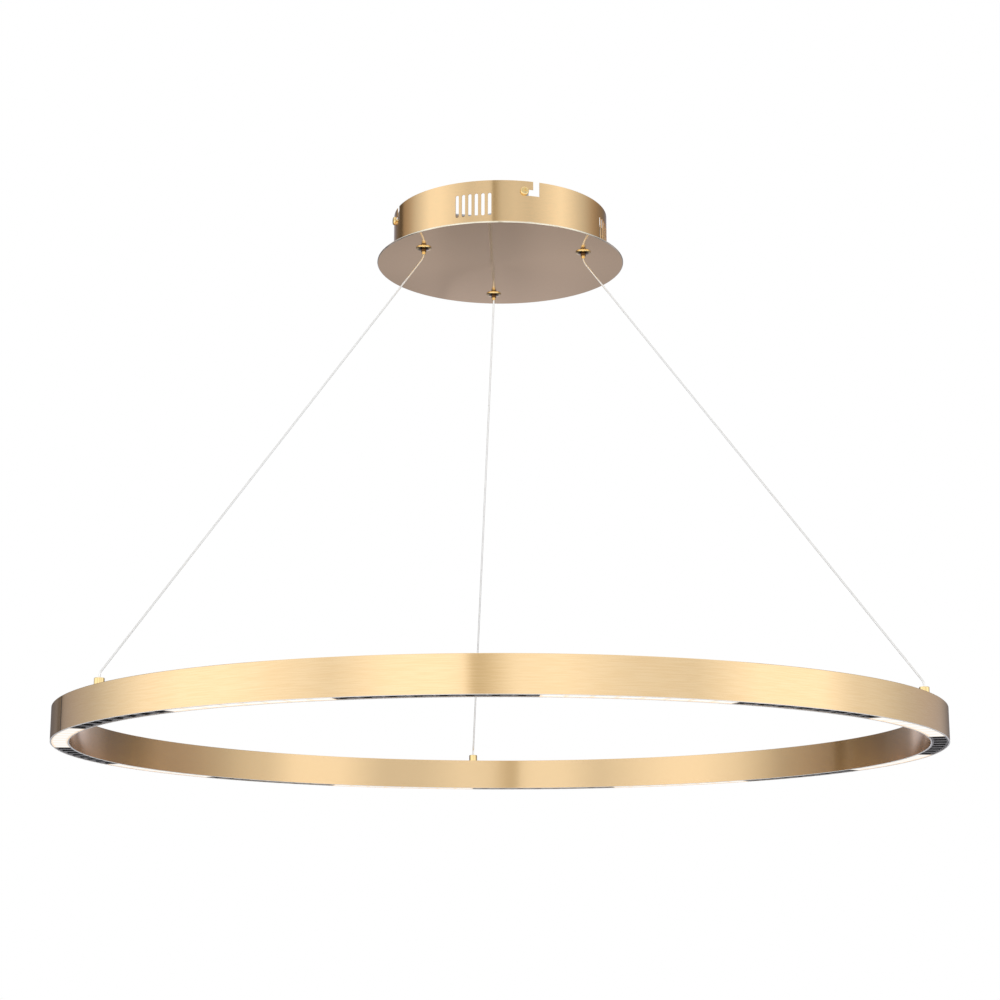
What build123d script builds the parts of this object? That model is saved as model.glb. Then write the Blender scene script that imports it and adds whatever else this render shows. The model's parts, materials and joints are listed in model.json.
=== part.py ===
from build123d import *
import math
import os

# Pendant ring lamp, in millimetres. The origin is the centre of the bracket's face against the ceiling,
# with +Z up, so the lamp hangs below it. Angles run from +X, counter-clockwise as seen from above.

# Whole lamp
lamp_height = 512.0  # ceiling to the ring's lower edge

# Canopy drum and plate
rim_gap = 0.5  # ceiling to the drum's rim
drum_radius = 102.0
drum_wall = 1.0
drum_height = 45.0
plate_overhang = 15.5  # drum's face to the plate's rim
plate_thickness = 1.5
plate_edge = 0.4  # rounding of the plate's rim

# Bayonet slots, one for each side screw: a level run, and a leg up to the rim
slot_count = 4
screw_angle = 8.2
slot_turn = 6.4  # degrees from the screw's seat to the middle of the leg
slot_width = 6.0
slot_depth = 11.0  # rim to the middle of the level run
hang_gap = 0.05  # side screw to the slot edge that hangs on it
cut_reach = 4.0  # how far the slots and vents are cut past the drum's face

# Vents, in groups between the slots
vent_angle = -18.45
vent_count = 6
vent_step = 3.46
vent_width = 3.2
vent_length = 21.6
vent_depth = 23.0  # rim to the middle of a vent

# Ears that fix the drum to studs on the plate
ear_count = 6
ear_width = 12.0
ear_stud_inset = 9.5  # drum's inner face to the stud
stud_radius = 1.5
stud_clearance = 0.15
stud_proud = 1.0  # stud above its nut
stud_nut_width = 5.5
stud_nut_height = 2.4
thread_clearance = 0.05

# Ceiling bracket
bracket_thickness = 1.5
arm_width = 9.0
tab_gap = 1.5  # tab to the drum's inner face
tab_length = 17.0
bend_radius = 1.0
hub_radius = 18.0
mains_hole_radius = 11.0
ceiling_hole_radius = 2.2
ceiling_circle_radius = 60.0
collar_radius = 3.6
collar_length = 2.4

# Side screws
screw_radius = 2.0
screw_head_radius = 4.0
screw_head_height = 2.4
screw_head_round = 1.4
screw_head_gap = 0.15
screw_tip = 1.2  # shank past the tapped collar
recess_length = 4.4
recess_width = 0.9
recess_depth = 1.1

# Cable grippers
cable_count = 3
first_cable_angle = 90.0
gripper_inset = 14.5  # drum's inner face to a gripper's middle
flange_radius = 7.1
flange_thickness = 1.0
cone_height = 0.7
cone_radius = 2.7
nose_radius = 2.4
nose_length = 2.6
nose_bevel = 0.25
stem_radius = 4.0
stem_length = 14.0  # above the plate
stem_clearance = 0.1
stem_roof = 2.0
chamber_radius = 2.9
seat_height = 0.5  # plate's underside to the plunger's seat
washer_radius = 6.2
washer_thickness = 0.8
lock_nut_width = 11.0
lock_nut_height = 4.0

# Release plungers, their clamping balls and springs
plunger_radius = 1.7
plunger_bore = 1.05
plunger_clearance = 0.08
plunger_reach = 2.4  # past the end of the nose
plunger_head_radius = 2.75
plunger_head_height = 4.0
plunger_seat_gap = 0.05
ball_count = 3
ball_radius = 0.9
ball_window_radius = 1.0
ball_gap = 0.05  # ball to the cable that it grips
spring_inner_radius = 1.6
spring_outer_radius = 2.6

# Suspension cables
cable_radius = 0.8
cable_clearance = 0.2
exit_drop = 1.2  # straight length of a cable below its plunger
exit_lean = 26.0  # from the vertical, where a cable starts to bend outwards
exit_run = 5.0  # length at that lean, before a cable bends to its slope
bend_run = 12.0  # straight length of a cable above its ferrule
arc_share = 0.45  # share of the shorter run that an arc takes up

# Cable tails inside the canopy
tail_rise = 9.0  # stem's top to the level stretch of a tail
tail_run = 18.0
tail_stub = 12.0  # the tail that carries no power stands up this far
tail_heading = {0: -36.87, 2: 90.0}  # cables that carry power, and the way their tails turn
crimp_radius = 2.2
crimp_length = 14.0
crimp_stop_length = 7.0

# LED driver
driver_length = 116.0
driver_width = 40.0
driver_height = 18.0
driver_y = 20.0
driver_wall = 1.5
driver_tab_length = 11.0
driver_tab_width = 16.0
driver_stud_inset = 5.0  # end of the case to the stud
cover_rim = 3.0
cover_clearance = 0.2
standoff_radius = 2.5
standoff_height = 3.0
standoff_inset = 7.0
board_thickness = 1.6
board_margin = 1.5
lead_level = 10.0  # plate to the lead holes
lead_hole_clearance = 0.3

# Parts on the driver's board
transformer_size = (24.0, 22.0, 10.5)
transformer_x = -6.0
capacitor_radius = 4.6
capacitor_length = 17.0
capacitor_places = ((-38.0, 7.0), (-38.0, -7.0))
choke_radius = 4.5
choke_height = 9.0
choke_places = ((28.0, 8.0), (28.0, -8.0), (43.0, 0.0))

# Terminal block
block_x = -30.0
block_y = -42.0
pole_count = 3
pole_pitch = 10.0
block_length = 34.0
block_width = 20.0
block_height = 14.0
block_foot_length = 52.0
block_foot_width = 9.0
block_foot_height = 3.0
block_stud_spacing = 43.0
wire_way_radius = 1.7
wire_way_height = 6.0
well_radius = 2.2
well_depth = 5.0
well_offset = 5.0
terminal_screw_radius = 1.9
terminal_screw_height = 4.0
terminal_slot_width = 0.7
terminal_slot_depth = 0.8

# Leads inside the canopy
lead_radius = 1.1
lead_entry = 4.0  # length of a lead inside the terminal block
lead_run = 12.0  # straight length of a lead at a housing
output_hole_inset = 13.0  # end of the driver to the lead hole in its back
output_hole_offset = 6.0  # middle of the driver to the lead hole in its end
earth_step = 9.0  # how far the earth lead swings clear of its pole
earth_stud_place = (12.0, -13.0)
lug_radius = 3.4
lug_thickness = 0.8
lug_barrel_radius = 1.5
lug_barrel_reach = 10.0

# Ring channel
ring_radius = 400.0
ring_width = 16.5
ring_height = 30.0
ring_wall = 1.4
ring_roof = 1.8
ring_bevel = 0.3
ledge_width = 1.0
ledge_thickness = 1.2
groove_depth = 0.35
groove_height = 2.0
groove_slope = 0.35
seam_angle = 199.6
seam_gap = 0.3

# Splice behind the seam
splice_span = 4.4  # degrees
splice_height = 6.0
splice_side_gap = 0.15
splice_screw_angles = (-1.75, -0.75, 0.75, 1.75)
splice_screw_radius = 1.5
splice_screw_head_radius = 2.7
splice_screw_head_height = 1.5
splice_screw_length = 6.8
splice_recess_length = 2.8
splice_recess_width = 0.6

# Segments of the ring: lit and louvred in turn
segment_pairs = 8
cells = 8  # in each segment
segment_gap = 0.3  # between neighbouring segments
segment_recess = 0.5  # ring's lower edge to the segment's face
segment_height = 10.0
segment_side_gap = 0.15
bead_height = 1.6
bead_proud = 0.3
louvre_rail = 1.3
louvre_fin = 1.5
louvre_taper = 14.0
diffuser_face = 1.6
diffuser_leg = 1.2
rib_groove_width = 0.9
rib_groove_depth = 0.4

# LED boards
led_board_thickness = 1.6
led_board_side_gap = 0.2
led_board_gap = 1.0
led_size = (3.0, 3.0, 0.8)
link_size = (4.0, 10.0, 1.5)

# Ferrules on the ring and the cable ends in them
ferrule_radius = 4.3
ferrule_height = 6.5
ferrule_bevel = 0.4
ferrule_stud_radius = 2.5
ferrule_stud_length = 5.2  # below the ring's roof
ferrule_nut_width = 8.0
ferrule_nut_height = 3.2
stop_radius = 1.8
stop_length = 5.0
feed_lead_radius = 0.6

# Heights and places that follow from the sizes above
rim_z = -rim_gap
plate_top = rim_z - drum_height
plate_bottom = plate_top - plate_thickness
plate_radius = drum_radius + plate_overhang
drum_inside = drum_radius - drum_wall
slot_z = rim_z - slot_depth
screw_z = slot_z + slot_width / 2 - hang_gap - screw_radius
tab_face = drum_inside - tab_gap
collar_face = tab_face - bracket_thickness - collar_length
ear_stud_radius = drum_inside - ear_stud_inset
gripper_circle_radius = drum_inside - gripper_inset

stem_top = plate_top + stem_length
chamber_top = stem_top - stem_roof
plunger_seat = plate_bottom + seat_height
plunger_head_bottom = plunger_seat + plunger_seat_gap
plunger_head_top = plunger_head_bottom + plunger_head_height
flange_bottom = plate_bottom - flange_thickness
cone_bottom = flange_bottom - cone_height
nose_bottom = cone_bottom - nose_length
plunger_tip = nose_bottom - plunger_reach
tail_z = stem_top + tail_rise

driver_roof = plate_top + driver_height
board_bottom = plate_top + driver_wall + standoff_height
board_top = board_bottom + board_thickness
lead_z = plate_top + lead_level
driver_end = driver_length / 2
driver_front = driver_y - driver_width / 2
driver_back = driver_y + driver_width / 2
driver_stud_places = [(side * (driver_end + driver_stud_inset), driver_y) for side in (-1, 1)]

block_stud_places = [(block_x + side * block_stud_spacing / 2, block_y) for side in (-1, 1)]
pole_places = [block_x + (number - (pole_count - 1) / 2) * pole_pitch for number in range(pole_count)]
wire_way_z = plate_top + wire_way_height
block_back = block_y + block_width / 2

ring_bottom = -lamp_height
ring_top = ring_bottom + ring_height
ring_inside = ring_radius - ring_width
ring_middle = ring_radius - ring_width / 2
channel_inner = ring_inside + ring_wall
channel_outer = ring_radius - ring_wall
roof_z = ring_top - ring_roof
segment_bottom = ring_bottom + segment_recess
segment_top = segment_bottom + segment_height
led_board_top = segment_top + led_board_thickness
bead_z = segment_bottom + segment_height / 2
segment_span = 180.0 / segment_pairs
cell_span = segment_span / cells
ferrule_top = ring_top + ferrule_height
ferrule_stud_bottom = roof_z - ferrule_stud_length
stop_bottom = ferrule_stud_bottom - stop_length


def around(count, first=0.0):
    """Evenly spaced angles round the lamp's axis."""
    return [first + 360.0 / count * number for number in range(count)]


cable_angles = around(cable_count, first_cable_angle)


def placed(angle, radius, z=0.0):
    """A place at an angle round the lamp's axis, with its own X axis pointing outwards."""
    return Rot(0, 0, angle) * Pos(radius, 0, z)


def spot(angle, radius, z):
    """The point at an angle round the lamp's axis."""
    turn = math.radians(angle)
    return (radius * math.cos(turn), radius * math.sin(turn), z)


def degrees_along(length, radius):
    """The angle that a length takes up on a circle."""
    return math.degrees(length / radius)


def turned(outline, start=0.0, span=360.0):
    """A closed outline of (radius, height) corners swung about the Z axis."""
    face = make_face(Plane.XZ * Polyline(*outline, close=True))
    return Rot(0, 0, start) * revolve(face, Axis.Z, span)


def pin(radius, low, high):
    """An upright cylinder between two heights."""
    return Pos(0, 0, low) * Cylinder(radius, high - low, align=(Align.CENTER, Align.CENTER, Align.MIN))


def rod(radius, start, end):
    """A cylinder along the X axis."""
    along = Cylinder(radius, end - start, align=(Align.CENTER, Align.CENTER, Align.MIN))
    return Pos(start, 0, 0) * Rot(0, 90, 0) * along


def slab(x_range, y_range, z_range):
    """A box between its two ends along each axis."""
    (x0, x1), (y0, y1), (z0, z1) = x_range, y_range, z_range
    return Pos(x0, y0, z0) * Box(x1 - x0, y1 - y0, z1 - z0, align=Align.MIN)


def hex_nut(width, height, hole_radius):
    """A plain six-sided nut standing on the XY plane."""
    return extrude(RegularPolygon(width / 2, 6, major_radius=False) - Circle(hole_radius), height)


def cross_recess(length, width, depth):
    """The cross cut into a screw's head, reaching down from the XY plane."""
    return Box(length, width, 2 * depth) + Box(width, length, 2 * depth)


def group(shapes):
    """Separate solids of one kind, kept together."""
    return Compound([solid for shape in shapes for solid in shape.solids()])


def wire(name, points, radius):
    """A round wire along straight runs, joined by the largest arcs that the runs allow."""
    corners = [Vector(*point) for point in points]
    runs = [end - start for start, end in zip(corners, corners[1:])]
    radii = []
    for before, after in zip(runs, runs[1:]):
        half_turn = math.radians(before.get_angle(after) / 2)
        radii.append(arc_share * min(before.length, after.length) / math.tan(half_turn))
    path = FilletPolyline(*corners, radius=radii)
    solid = sweep(Plane(path @ 0, z_dir=path % 0) * Circle(radius), path=path)
    share = solid.volume / (math.pi * radius**2 * path.length)
    rounded = [round(value, 1) for value in radii]
    print(f"{name}: length {path.length:.1f}, arc radii {rounded}, volume / (section x length) {share:.4f}")
    return solid


def ceiling_bracket():
    """A pressed cross whose four arms bend down into tabs with tapped collars."""
    sheet = bracket_thickness
    outline = [
        (0, 0), (tab_face, 0), (tab_face, -tab_length),
        (tab_face - sheet, -tab_length), (tab_face - sheet, -sheet), (0, -sheet),
    ]
    section = make_face(Plane.XZ * Polyline(*outline, close=True))
    outer = section.vertices().sort_by_distance((tab_face, 0, 0))[0]
    section = fillet(outer, bend_radius + sheet)
    inner = section.vertices().sort_by_distance((tab_face - sheet, 0, -sheet))[0]
    section = fillet(inner, bend_radius)
    arm = extrude(section, arm_width / 2, both=True)
    arm += Pos(0, 0, screw_z) * rod(collar_radius, collar_face, tab_face - sheet)
    tapped = Pos(0, 0, screw_z) * rod(screw_radius + thread_clearance, collar_face, tab_face)
    arm -= tapped
    arm -= Pos(ceiling_circle_radius, 0, 0) * pin(ceiling_hole_radius, -sheet, 0)
    bracket = pin(hub_radius, -sheet, 0)
    for angle in around(slot_count, screw_angle):
        bracket += Rot(0, 0, angle) * arm
    return bracket - pin(mains_hole_radius, -sheet, 0)


def side_screw(angle):
    """A round-headed screw that clamps the drum against a tab of the bracket."""
    seat = drum_radius + screw_head_gap
    face = seat + screw_head_height
    head = rod(screw_head_radius, seat, face)
    head = fillet(head.edges().sort_by(Axis.X)[-1], screw_head_round)
    recess = Pos(face, 0, 0) * Rot(0, 90, 0) * cross_recess(recess_length, recess_width, recess_depth)
    shank = rod(screw_radius, collar_face - screw_tip, seat)
    return Rot(0, 0, angle) * Pos(0, 0, screw_z) * (head + shank - recess)


def bayonet_cut():
    """The J-shaped opening for one side screw, about the middle of its closed end."""
    through = (-cut_reach, cut_reach)
    half = slot_width / 2
    leg = drum_radius * math.sin(math.radians(slot_turn))
    run = slab(through, (0, leg + half), (-half, half))
    rise = slab(through, (leg - half, leg + half), (-half, slot_depth + cut_reach))
    return rod(half, *through) + run + rise


def canopy_drum():
    """The rolled drum, with its slots, vents and the ears that fix it to the plate."""
    drum = turned([
        (drum_inside, plate_top), (drum_radius, plate_top), (drum_radius, rim_z), (drum_inside, rim_z),
    ])
    ear_top = plate_top + drum_wall
    ear = slab((ear_stud_radius, drum_inside + drum_wall / 2), (-ear_width / 2, ear_width / 2),
               (plate_top, ear_top))
    ear += Pos(ear_stud_radius, 0, 0) * pin(ear_width / 2, plate_top, ear_top)
    ear -= Pos(ear_stud_radius, 0, 0) * pin(stud_radius + stud_clearance, plate_top, ear_top)
    for angle in around(ear_count):
        drum += Rot(0, 0, angle) * ear
    vent = extrude(Plane.YZ * SlotOverall(vent_length, vent_width, rotation=90), cut_reach, both=True)
    cuts = []
    for angle in around(slot_count):
        cuts.append(placed(angle + screw_angle, drum_radius, slot_z) * bayonet_cut())
        for number in range(vent_count):
            offset = (number - (vent_count - 1) / 2) * vent_step
            cuts.append(placed(angle + vent_angle + offset, drum_radius, rim_z - vent_depth) * vent)
    return drum - cuts


def plate_studs():
    """Each welded stud's place on the plate, and the thickness that its nut clamps."""
    ears = [(spot(angle, ear_stud_radius, 0)[:2], drum_wall) for angle in around(ear_count)]
    driver = [(place, driver_wall) for place in driver_stud_places]
    block = [(place, block_foot_height) for place in block_stud_places]
    return ears + driver + block + [(earth_stud_place, lug_thickness)]


def canopy_plate():
    """The round plate under the drum, with the gripper holes and the studs welded to its upper face."""
    plate = pin(plate_radius, plate_bottom, plate_top)
    plate = fillet(plate.edges().filter_by(GeomType.CIRCLE), plate_edge)
    hole = pin(stem_radius + stem_clearance, plate_bottom, plate_top)
    for angle in cable_angles:
        plate -= placed(angle, gripper_circle_radius) * hole
    for (x, y), clamped in plate_studs():
        stud_top = plate_top + clamped + stud_nut_height + stud_proud
        plate += Pos(x, y, 0) * pin(stud_radius, plate_top, stud_top)
    return plate


def plate_nuts():
    """The nuts on all the plate's studs."""
    nut = hex_nut(stud_nut_width, stud_nut_height, stud_radius + thread_clearance)
    return group(Pos(x, y, plate_top + clamped) * nut for (x, y), clamped in plate_studs())


def gripper_body(angle):
    """Flange, nose and threaded stem in one turned piece, with a chamber for the plunger's head."""
    nose_bore = plunger_radius + plunger_clearance
    tail_bore = cable_radius + cable_clearance
    body = turned([
        (nose_bore, nose_bottom), (nose_radius - nose_bevel, nose_bottom),
        (nose_radius, nose_bottom + nose_bevel), (nose_radius, cone_bottom), (cone_radius, cone_bottom),
        (flange_radius - flange_thickness / 2, flange_bottom),
        (flange_radius, flange_bottom + flange_thickness / 2), (flange_radius, plate_bottom),
        (stem_radius, plate_bottom), (stem_radius, stem_top), (tail_bore, stem_top),
        (tail_bore, chamber_top), (chamber_radius, chamber_top), (chamber_radius, plunger_seat),
        (nose_bore, plunger_seat),
    ])
    return placed(angle, gripper_circle_radius) * body


def gripper_plunger(angle):
    """The sleeve that is pushed up to let the cable go, with the balls that clamp the cable."""
    sleeve = turned([
        (plunger_bore, plunger_tip), (plunger_radius, plunger_tip), (plunger_radius, plunger_head_bottom),
        (plunger_head_radius, plunger_head_bottom), (plunger_head_radius, plunger_head_top),
        (plunger_bore, plunger_head_top),
    ])
    ball_z = (plunger_head_bottom + plunger_head_top) / 2
    balls = []
    for turn in around(ball_count):
        sleeve -= Rot(0, 0, turn) * Pos(0, 0, ball_z) * rod(ball_window_radius, 0, plunger_head_radius)
        balls.append(placed(turn, cable_radius + ball_gap + ball_radius, ball_z) * Sphere(ball_radius))
    return placed(angle, gripper_circle_radius) * group([sleeve, *balls])


def gripper_spring(angle):
    """The space that the plunger's spring fills, inside the stem."""
    spring = pin(spring_outer_radius, plunger_head_top, chamber_top)
    spring -= pin(spring_inner_radius, plunger_head_top, chamber_top)
    return placed(angle, gripper_circle_radius) * spring


def gripper_washers():
    """The washers under the grippers' lock nuts."""
    top = plate_top + washer_thickness
    washer = pin(washer_radius, plate_top, top) - pin(stem_radius + stem_clearance, plate_top, top)
    return group(placed(angle, gripper_circle_radius) * washer for angle in cable_angles)


def gripper_nuts():
    """The lock nuts that hold the grippers to the plate."""
    nut = hex_nut(lock_nut_width, lock_nut_height, stem_radius + thread_clearance)
    seat = plate_top + washer_thickness
    return group(placed(angle, gripper_circle_radius, seat) * nut for angle in cable_angles)


def suspension_cable(number, angle):
    """One taut cable from its plunger to its ferrule, upright at both ends."""
    lean = math.radians(exit_lean)
    bend_z = plunger_tip - exit_drop
    route = [
        spot(angle, gripper_circle_radius, plunger_tip),
        spot(angle, gripper_circle_radius, bend_z),
        spot(angle, gripper_circle_radius + exit_run * math.sin(lean), bend_z - exit_run * math.cos(lean)),
        spot(angle, ring_middle, ferrule_top + bend_run),
        spot(angle, ring_middle, ferrule_top),
    ]
    return wire(f"suspension_cable_{number}", route, cable_radius)


def tail_point(number, length):
    """The point at a length along the level stretch of a tail, from above its gripper."""
    x, y, z = spot(cable_angles[number], gripper_circle_radius, tail_z)
    dx, dy, _ = spot(tail_heading[number], length, 0)
    return (x + dx, y + dy, z)


def cable_tails():
    """What runs on from each cable, up through its gripper into the canopy."""
    tails = []
    for number, angle in enumerate(cable_angles):
        if number in tail_heading:
            route = [
                spot(angle, gripper_circle_radius, plunger_tip),
                spot(angle, gripper_circle_radius, tail_z),
                tail_point(number, tail_run),
            ]
            tails.append(wire("cable_tail", route, cable_radius))
        else:
            tails.append(placed(angle, gripper_circle_radius)
                         * pin(cable_radius, plunger_tip, stem_top + tail_stub))
    return group(tails)


def tail_crimps():
    """A connector on the end of each tail that carries power, and a stop on the one that doesn't."""
    crimps = []
    stop = pin(crimp_radius, stem_top + tail_stub, stem_top + tail_stub + crimp_stop_length)
    for number, angle in enumerate(cable_angles):
        if number in tail_heading:
            sleeve = Rot(0, 0, tail_heading[number]) * rod(crimp_radius, 0, crimp_length)
            crimps.append(Pos(*tail_point(number, tail_run)) * sleeve)
        else:
            crimps.append(placed(angle, gripper_circle_radius) * stop)
    return group(crimps)


def driver_outputs():
    """The routes of the two leads from the tails' connectors into the driver."""
    hole_x = driver_end - output_hole_inset
    hole_y = driver_y - output_hole_offset
    crimped = tail_run + crimp_length
    back, right = tail_heading
    back_lead = [
        tail_point(back, crimped),
        tail_point(back, crimped + lead_run),
        (hole_x, driver_back + lead_run, lead_z),
        (hole_x, driver_back - driver_wall, lead_z),
    ]
    right_lead = [
        tail_point(right, crimped),
        tail_point(right, crimped + lead_run),
        (driver_end + lead_run, hole_y, lead_z),
        (driver_end - driver_wall, hole_y, lead_z),
    ]
    return [back_lead, right_lead]


def driver_inputs():
    """The routes of the two supply leads from the driver to the terminal block."""
    return [
        [
            (x, driver_front + driver_wall, lead_z),
            (x, driver_front - lead_run, lead_z),
            (x, block_back + lead_run, wire_way_z),
            (x, block_back - lead_entry, wire_way_z),
        ]
        for x in pole_places[:2]
    ]


def lead_hole(inner, outer):
    """A hole for a lead, through a wall from its inner to its outer side."""
    start, end = Vector(*inner), Vector(*outer)
    return Plane(start, z_dir=end - start) * pin(lead_radius + lead_hole_clearance, 0, (end - start).length)


def standoff_places():
    """Where the driver's board stands."""
    half_length, half_width = driver_end - standoff_inset, driver_width / 2 - standoff_inset
    return [(sx * half_length, driver_y + sy * half_width) for sx in (-1, 1) for sy in (-1, 1)]


def driver_case():
    """The driver's lower shell, with a fixing tab at each end and standoffs for its board."""
    wall = driver_wall
    inner_end, tab_end = driver_end - wall, driver_end + driver_tab_length
    case = slab((-driver_end, driver_end), (driver_front, driver_back), (plate_top, driver_roof))
    case -= slab((-inner_end, inner_end), (driver_front + wall, driver_back - wall),
                 (plate_top + wall, driver_roof))
    for side in (-1, 1):
        ends = sorted((side * inner_end, side * tab_end))
        case += slab(ends, (driver_y - driver_tab_width / 2, driver_y + driver_tab_width / 2),
                     (plate_top, plate_top + wall))
    for x, y in driver_stud_places:
        case -= Pos(x, y, 0) * pin(stud_radius + stud_clearance, plate_top, plate_top + wall)
    for x, y in standoff_places():
        case += Pos(x, y, 0) * pin(standoff_radius, plate_top + wall, board_bottom)
    for route in driver_outputs():
        case -= lead_hole(route[-1], route[-2])
    for route in driver_inputs():
        case -= lead_hole(route[0], route[1])
    return case


def driver_cover():
    """The driver's lid, with a rim that drops inside the case."""
    rim_low = driver_roof - cover_rim
    end = driver_end - driver_wall - cover_clearance
    front = driver_front + driver_wall + cover_clearance
    back = driver_back - driver_wall - cover_clearance
    cover = slab((-driver_end, driver_end), (driver_front, driver_back),
                 (driver_roof, driver_roof + driver_wall))
    cover += slab((-end, end), (front, back), (rim_low, driver_roof))
    return cover - slab((-end + driver_wall, end - driver_wall), (front + driver_wall, back - driver_wall),
                        (rim_low, driver_roof))


def driver_board():
    """The driver's circuit board, with its transformer, capacitors and chokes standing on it."""
    end = driver_end - driver_wall - board_margin
    half = driver_width / 2 - driver_wall - board_margin
    board = slab((-end, end), (driver_y - half, driver_y + half), (board_bottom, board_top))
    length, width, height = transformer_size
    parts = [slab((transformer_x - length / 2, transformer_x + length / 2),
                  (driver_y - width / 2, driver_y + width / 2), (board_top, board_top + height))]
    for x, y in capacitor_places:
        middle = Pos(x, driver_y + y, board_top + capacitor_radius)
        parts.append(middle * rod(capacitor_radius, -capacitor_length / 2, capacitor_length / 2))
    for x, y in choke_places:
        parts.append(Pos(x, driver_y + y, 0) * pin(choke_radius, board_top, board_top + choke_height))
    return group([board, *parts])


def pole_screws():
    """Where the terminal block's screws stand."""
    return [(x, block_y + side * well_offset) for x in pole_places for side in (-1, 1)]


def terminal_block():
    """A three-way terminal block on a foot that two studs hold."""
    top = plate_top + block_height
    foot_top = plate_top + block_foot_height
    block = Pos(block_x, block_y, 0) * (
        slab((-block_length / 2, block_length / 2), (-block_width / 2, block_width / 2), (plate_top, top))
        + slab((-block_foot_length / 2, block_foot_length / 2),
               (-block_foot_width / 2, block_foot_width / 2), (plate_top, foot_top))
    )
    for x in pole_places:
        way = Cylinder(wire_way_radius, block_width, rotation=(90, 0, 0))
        block -= Pos(x, block_y, wire_way_z) * way
    for x, y in pole_screws():
        block -= Pos(x, y, 0) * pin(well_radius, top - well_depth, top)
    for x, y in block_stud_places:
        block -= Pos(x, y, 0) * pin(stud_radius + stud_clearance, plate_top, foot_top)
    return block


def terminal_screws():
    """The slotted clamping screws in the terminal block's wells."""
    low = plate_top + block_height - well_depth
    high = low + terminal_screw_height
    screw = pin(terminal_screw_radius, low, high)
    screw -= Pos(0, 0, high) * Box(2 * terminal_screw_radius, terminal_slot_width, 2 * terminal_slot_depth)
    return group(Pos(x, y, 0) * screw for x, y in pole_screws())


def input_leads():
    """The supply leads between the terminal block and the driver."""
    return group(wire("input_lead", route, lead_radius) for route in driver_inputs())


def output_leads():
    """The leads from the driver to the tails' connectors."""
    return group(wire("output_lead", route, lead_radius) for route in driver_outputs())


def earth_lead():
    """The earth lead and the lug that a stud holds on the plate."""
    stud_x, stud_y = earth_stud_place
    barrel_z = plate_top + lug_barrel_radius
    barrel_end = stud_x - lug_barrel_reach
    eye = pin(lug_radius, plate_top, plate_top + lug_thickness)
    barrel = Pos(0, 0, barrel_z) * rod(lug_barrel_radius, -lug_barrel_reach, -lug_radius)
    neck = slab((-lug_radius - lug_barrel_radius, 0), (-lug_barrel_radius, lug_barrel_radius),
                (plate_top, plate_top + lug_thickness))
    lug = eye + barrel + neck - pin(stud_radius + stud_clearance, plate_top, plate_top + lug_thickness)
    pole_x = pole_places[-1]
    route = [
        (pole_x, block_back - lead_entry, wire_way_z),
        (pole_x, block_back + earth_step, wire_way_z),
        (pole_x + earth_step, stud_y - lug_barrel_radius, (wire_way_z + barrel_z) / 2),
        (barrel_end - earth_step / 2, stud_y, barrel_z),
        (barrel_end, stud_y, barrel_z),
    ]
    return group([wire("earth_lead", route, lead_radius), Pos(stud_x, stud_y, 0) * lug])


def side_profile(face, low, height, step, slope):
    """The corners up one side of a channel or segment, round its groove or bead of a given height."""
    bottom, top = bead_z - height / 2, bead_z + height / 2
    depth = face + step
    return [(face, low), (face, bottom), (depth, bottom + slope), (depth, top - slope), (face, top)]


def ring_housing():
    """The gold channel: open below, with ledges for the boards and grooves that the segments snap into."""
    outer = side_profile(channel_outer, ring_bottom, groove_height, groove_depth, groove_slope)
    inner = side_profile(channel_inner, ring_bottom, groove_height, -groove_depth, groove_slope)
    ledge_top = led_board_top + ledge_thickness
    outer += [(channel_outer, led_board_top), (channel_outer - ledge_width, led_board_top),
              (channel_outer - ledge_width, ledge_top), (channel_outer, ledge_top), (channel_outer, roof_z)]
    inner += [(channel_inner, led_board_top), (channel_inner + ledge_width, led_board_top),
              (channel_inner + ledge_width, ledge_top), (channel_inner, ledge_top), (channel_inner, roof_z)]
    shell = [
        (ring_inside, ring_bottom + ring_bevel), (ring_inside, ring_top - ring_bevel),
        (ring_inside + ring_bevel, ring_top), (ring_radius - ring_bevel, ring_top),
        (ring_radius, ring_top - ring_bevel), (ring_radius, ring_bottom + ring_bevel),
        (ring_radius - ring_bevel, ring_bottom),
    ]
    housing = turned(shell + outer + inner[::-1] + [(ring_inside + ring_bevel, ring_bottom)])
    cuts = [placed(seam_angle, ring_middle, (ring_top + ring_bottom) / 2)
            * Box(2 * ring_width, seam_gap, 2 * ring_height)]
    stud_hole = pin(ferrule_stud_radius + stud_clearance, roof_z, ring_top)
    for angle in cable_angles:
        cuts.append(placed(angle, ring_middle) * stud_hole)
    for angle in splice_screw_angles:
        cuts.append(placed(seam_angle + angle, ring_middle) * splice_screw_shape(thread_clearance))
    return housing - cuts


def splice_screw_shape(margin):
    """A countersunk screw through the ring's roof, or with a margin the hole for it."""
    shank = splice_screw_radius + margin
    return turned([
        (0, ring_top), (splice_screw_head_radius + margin, ring_top),
        (shank, ring_top - splice_screw_head_height - margin),
        (shank, ring_top - splice_screw_length - margin), (0, ring_top - splice_screw_length - margin),
    ])


def ring_splice():
    """The curved block that joins the channel's two ends under the roof."""
    inner, outer = channel_inner + splice_side_gap, channel_outer - splice_side_gap
    low = roof_z - splice_height
    outline = [(inner, low), (outer, low), (outer, roof_z), (inner, roof_z)]
    splice = turned(outline, seam_angle - splice_span / 2, splice_span)
    for angle in splice_screw_angles:
        splice -= placed(seam_angle + angle, ring_middle) * splice_screw_shape(thread_clearance)
    return splice


def splice_screws():
    """The screws through the roof into the splice."""
    recess = cross_recess(splice_recess_length, splice_recess_width, splice_screw_head_height / 2)
    screw = splice_screw_shape(0) - Pos(0, 0, ring_top) * recess
    return group(placed(seam_angle + angle, ring_middle) * screw for angle in splice_screw_angles)


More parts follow.
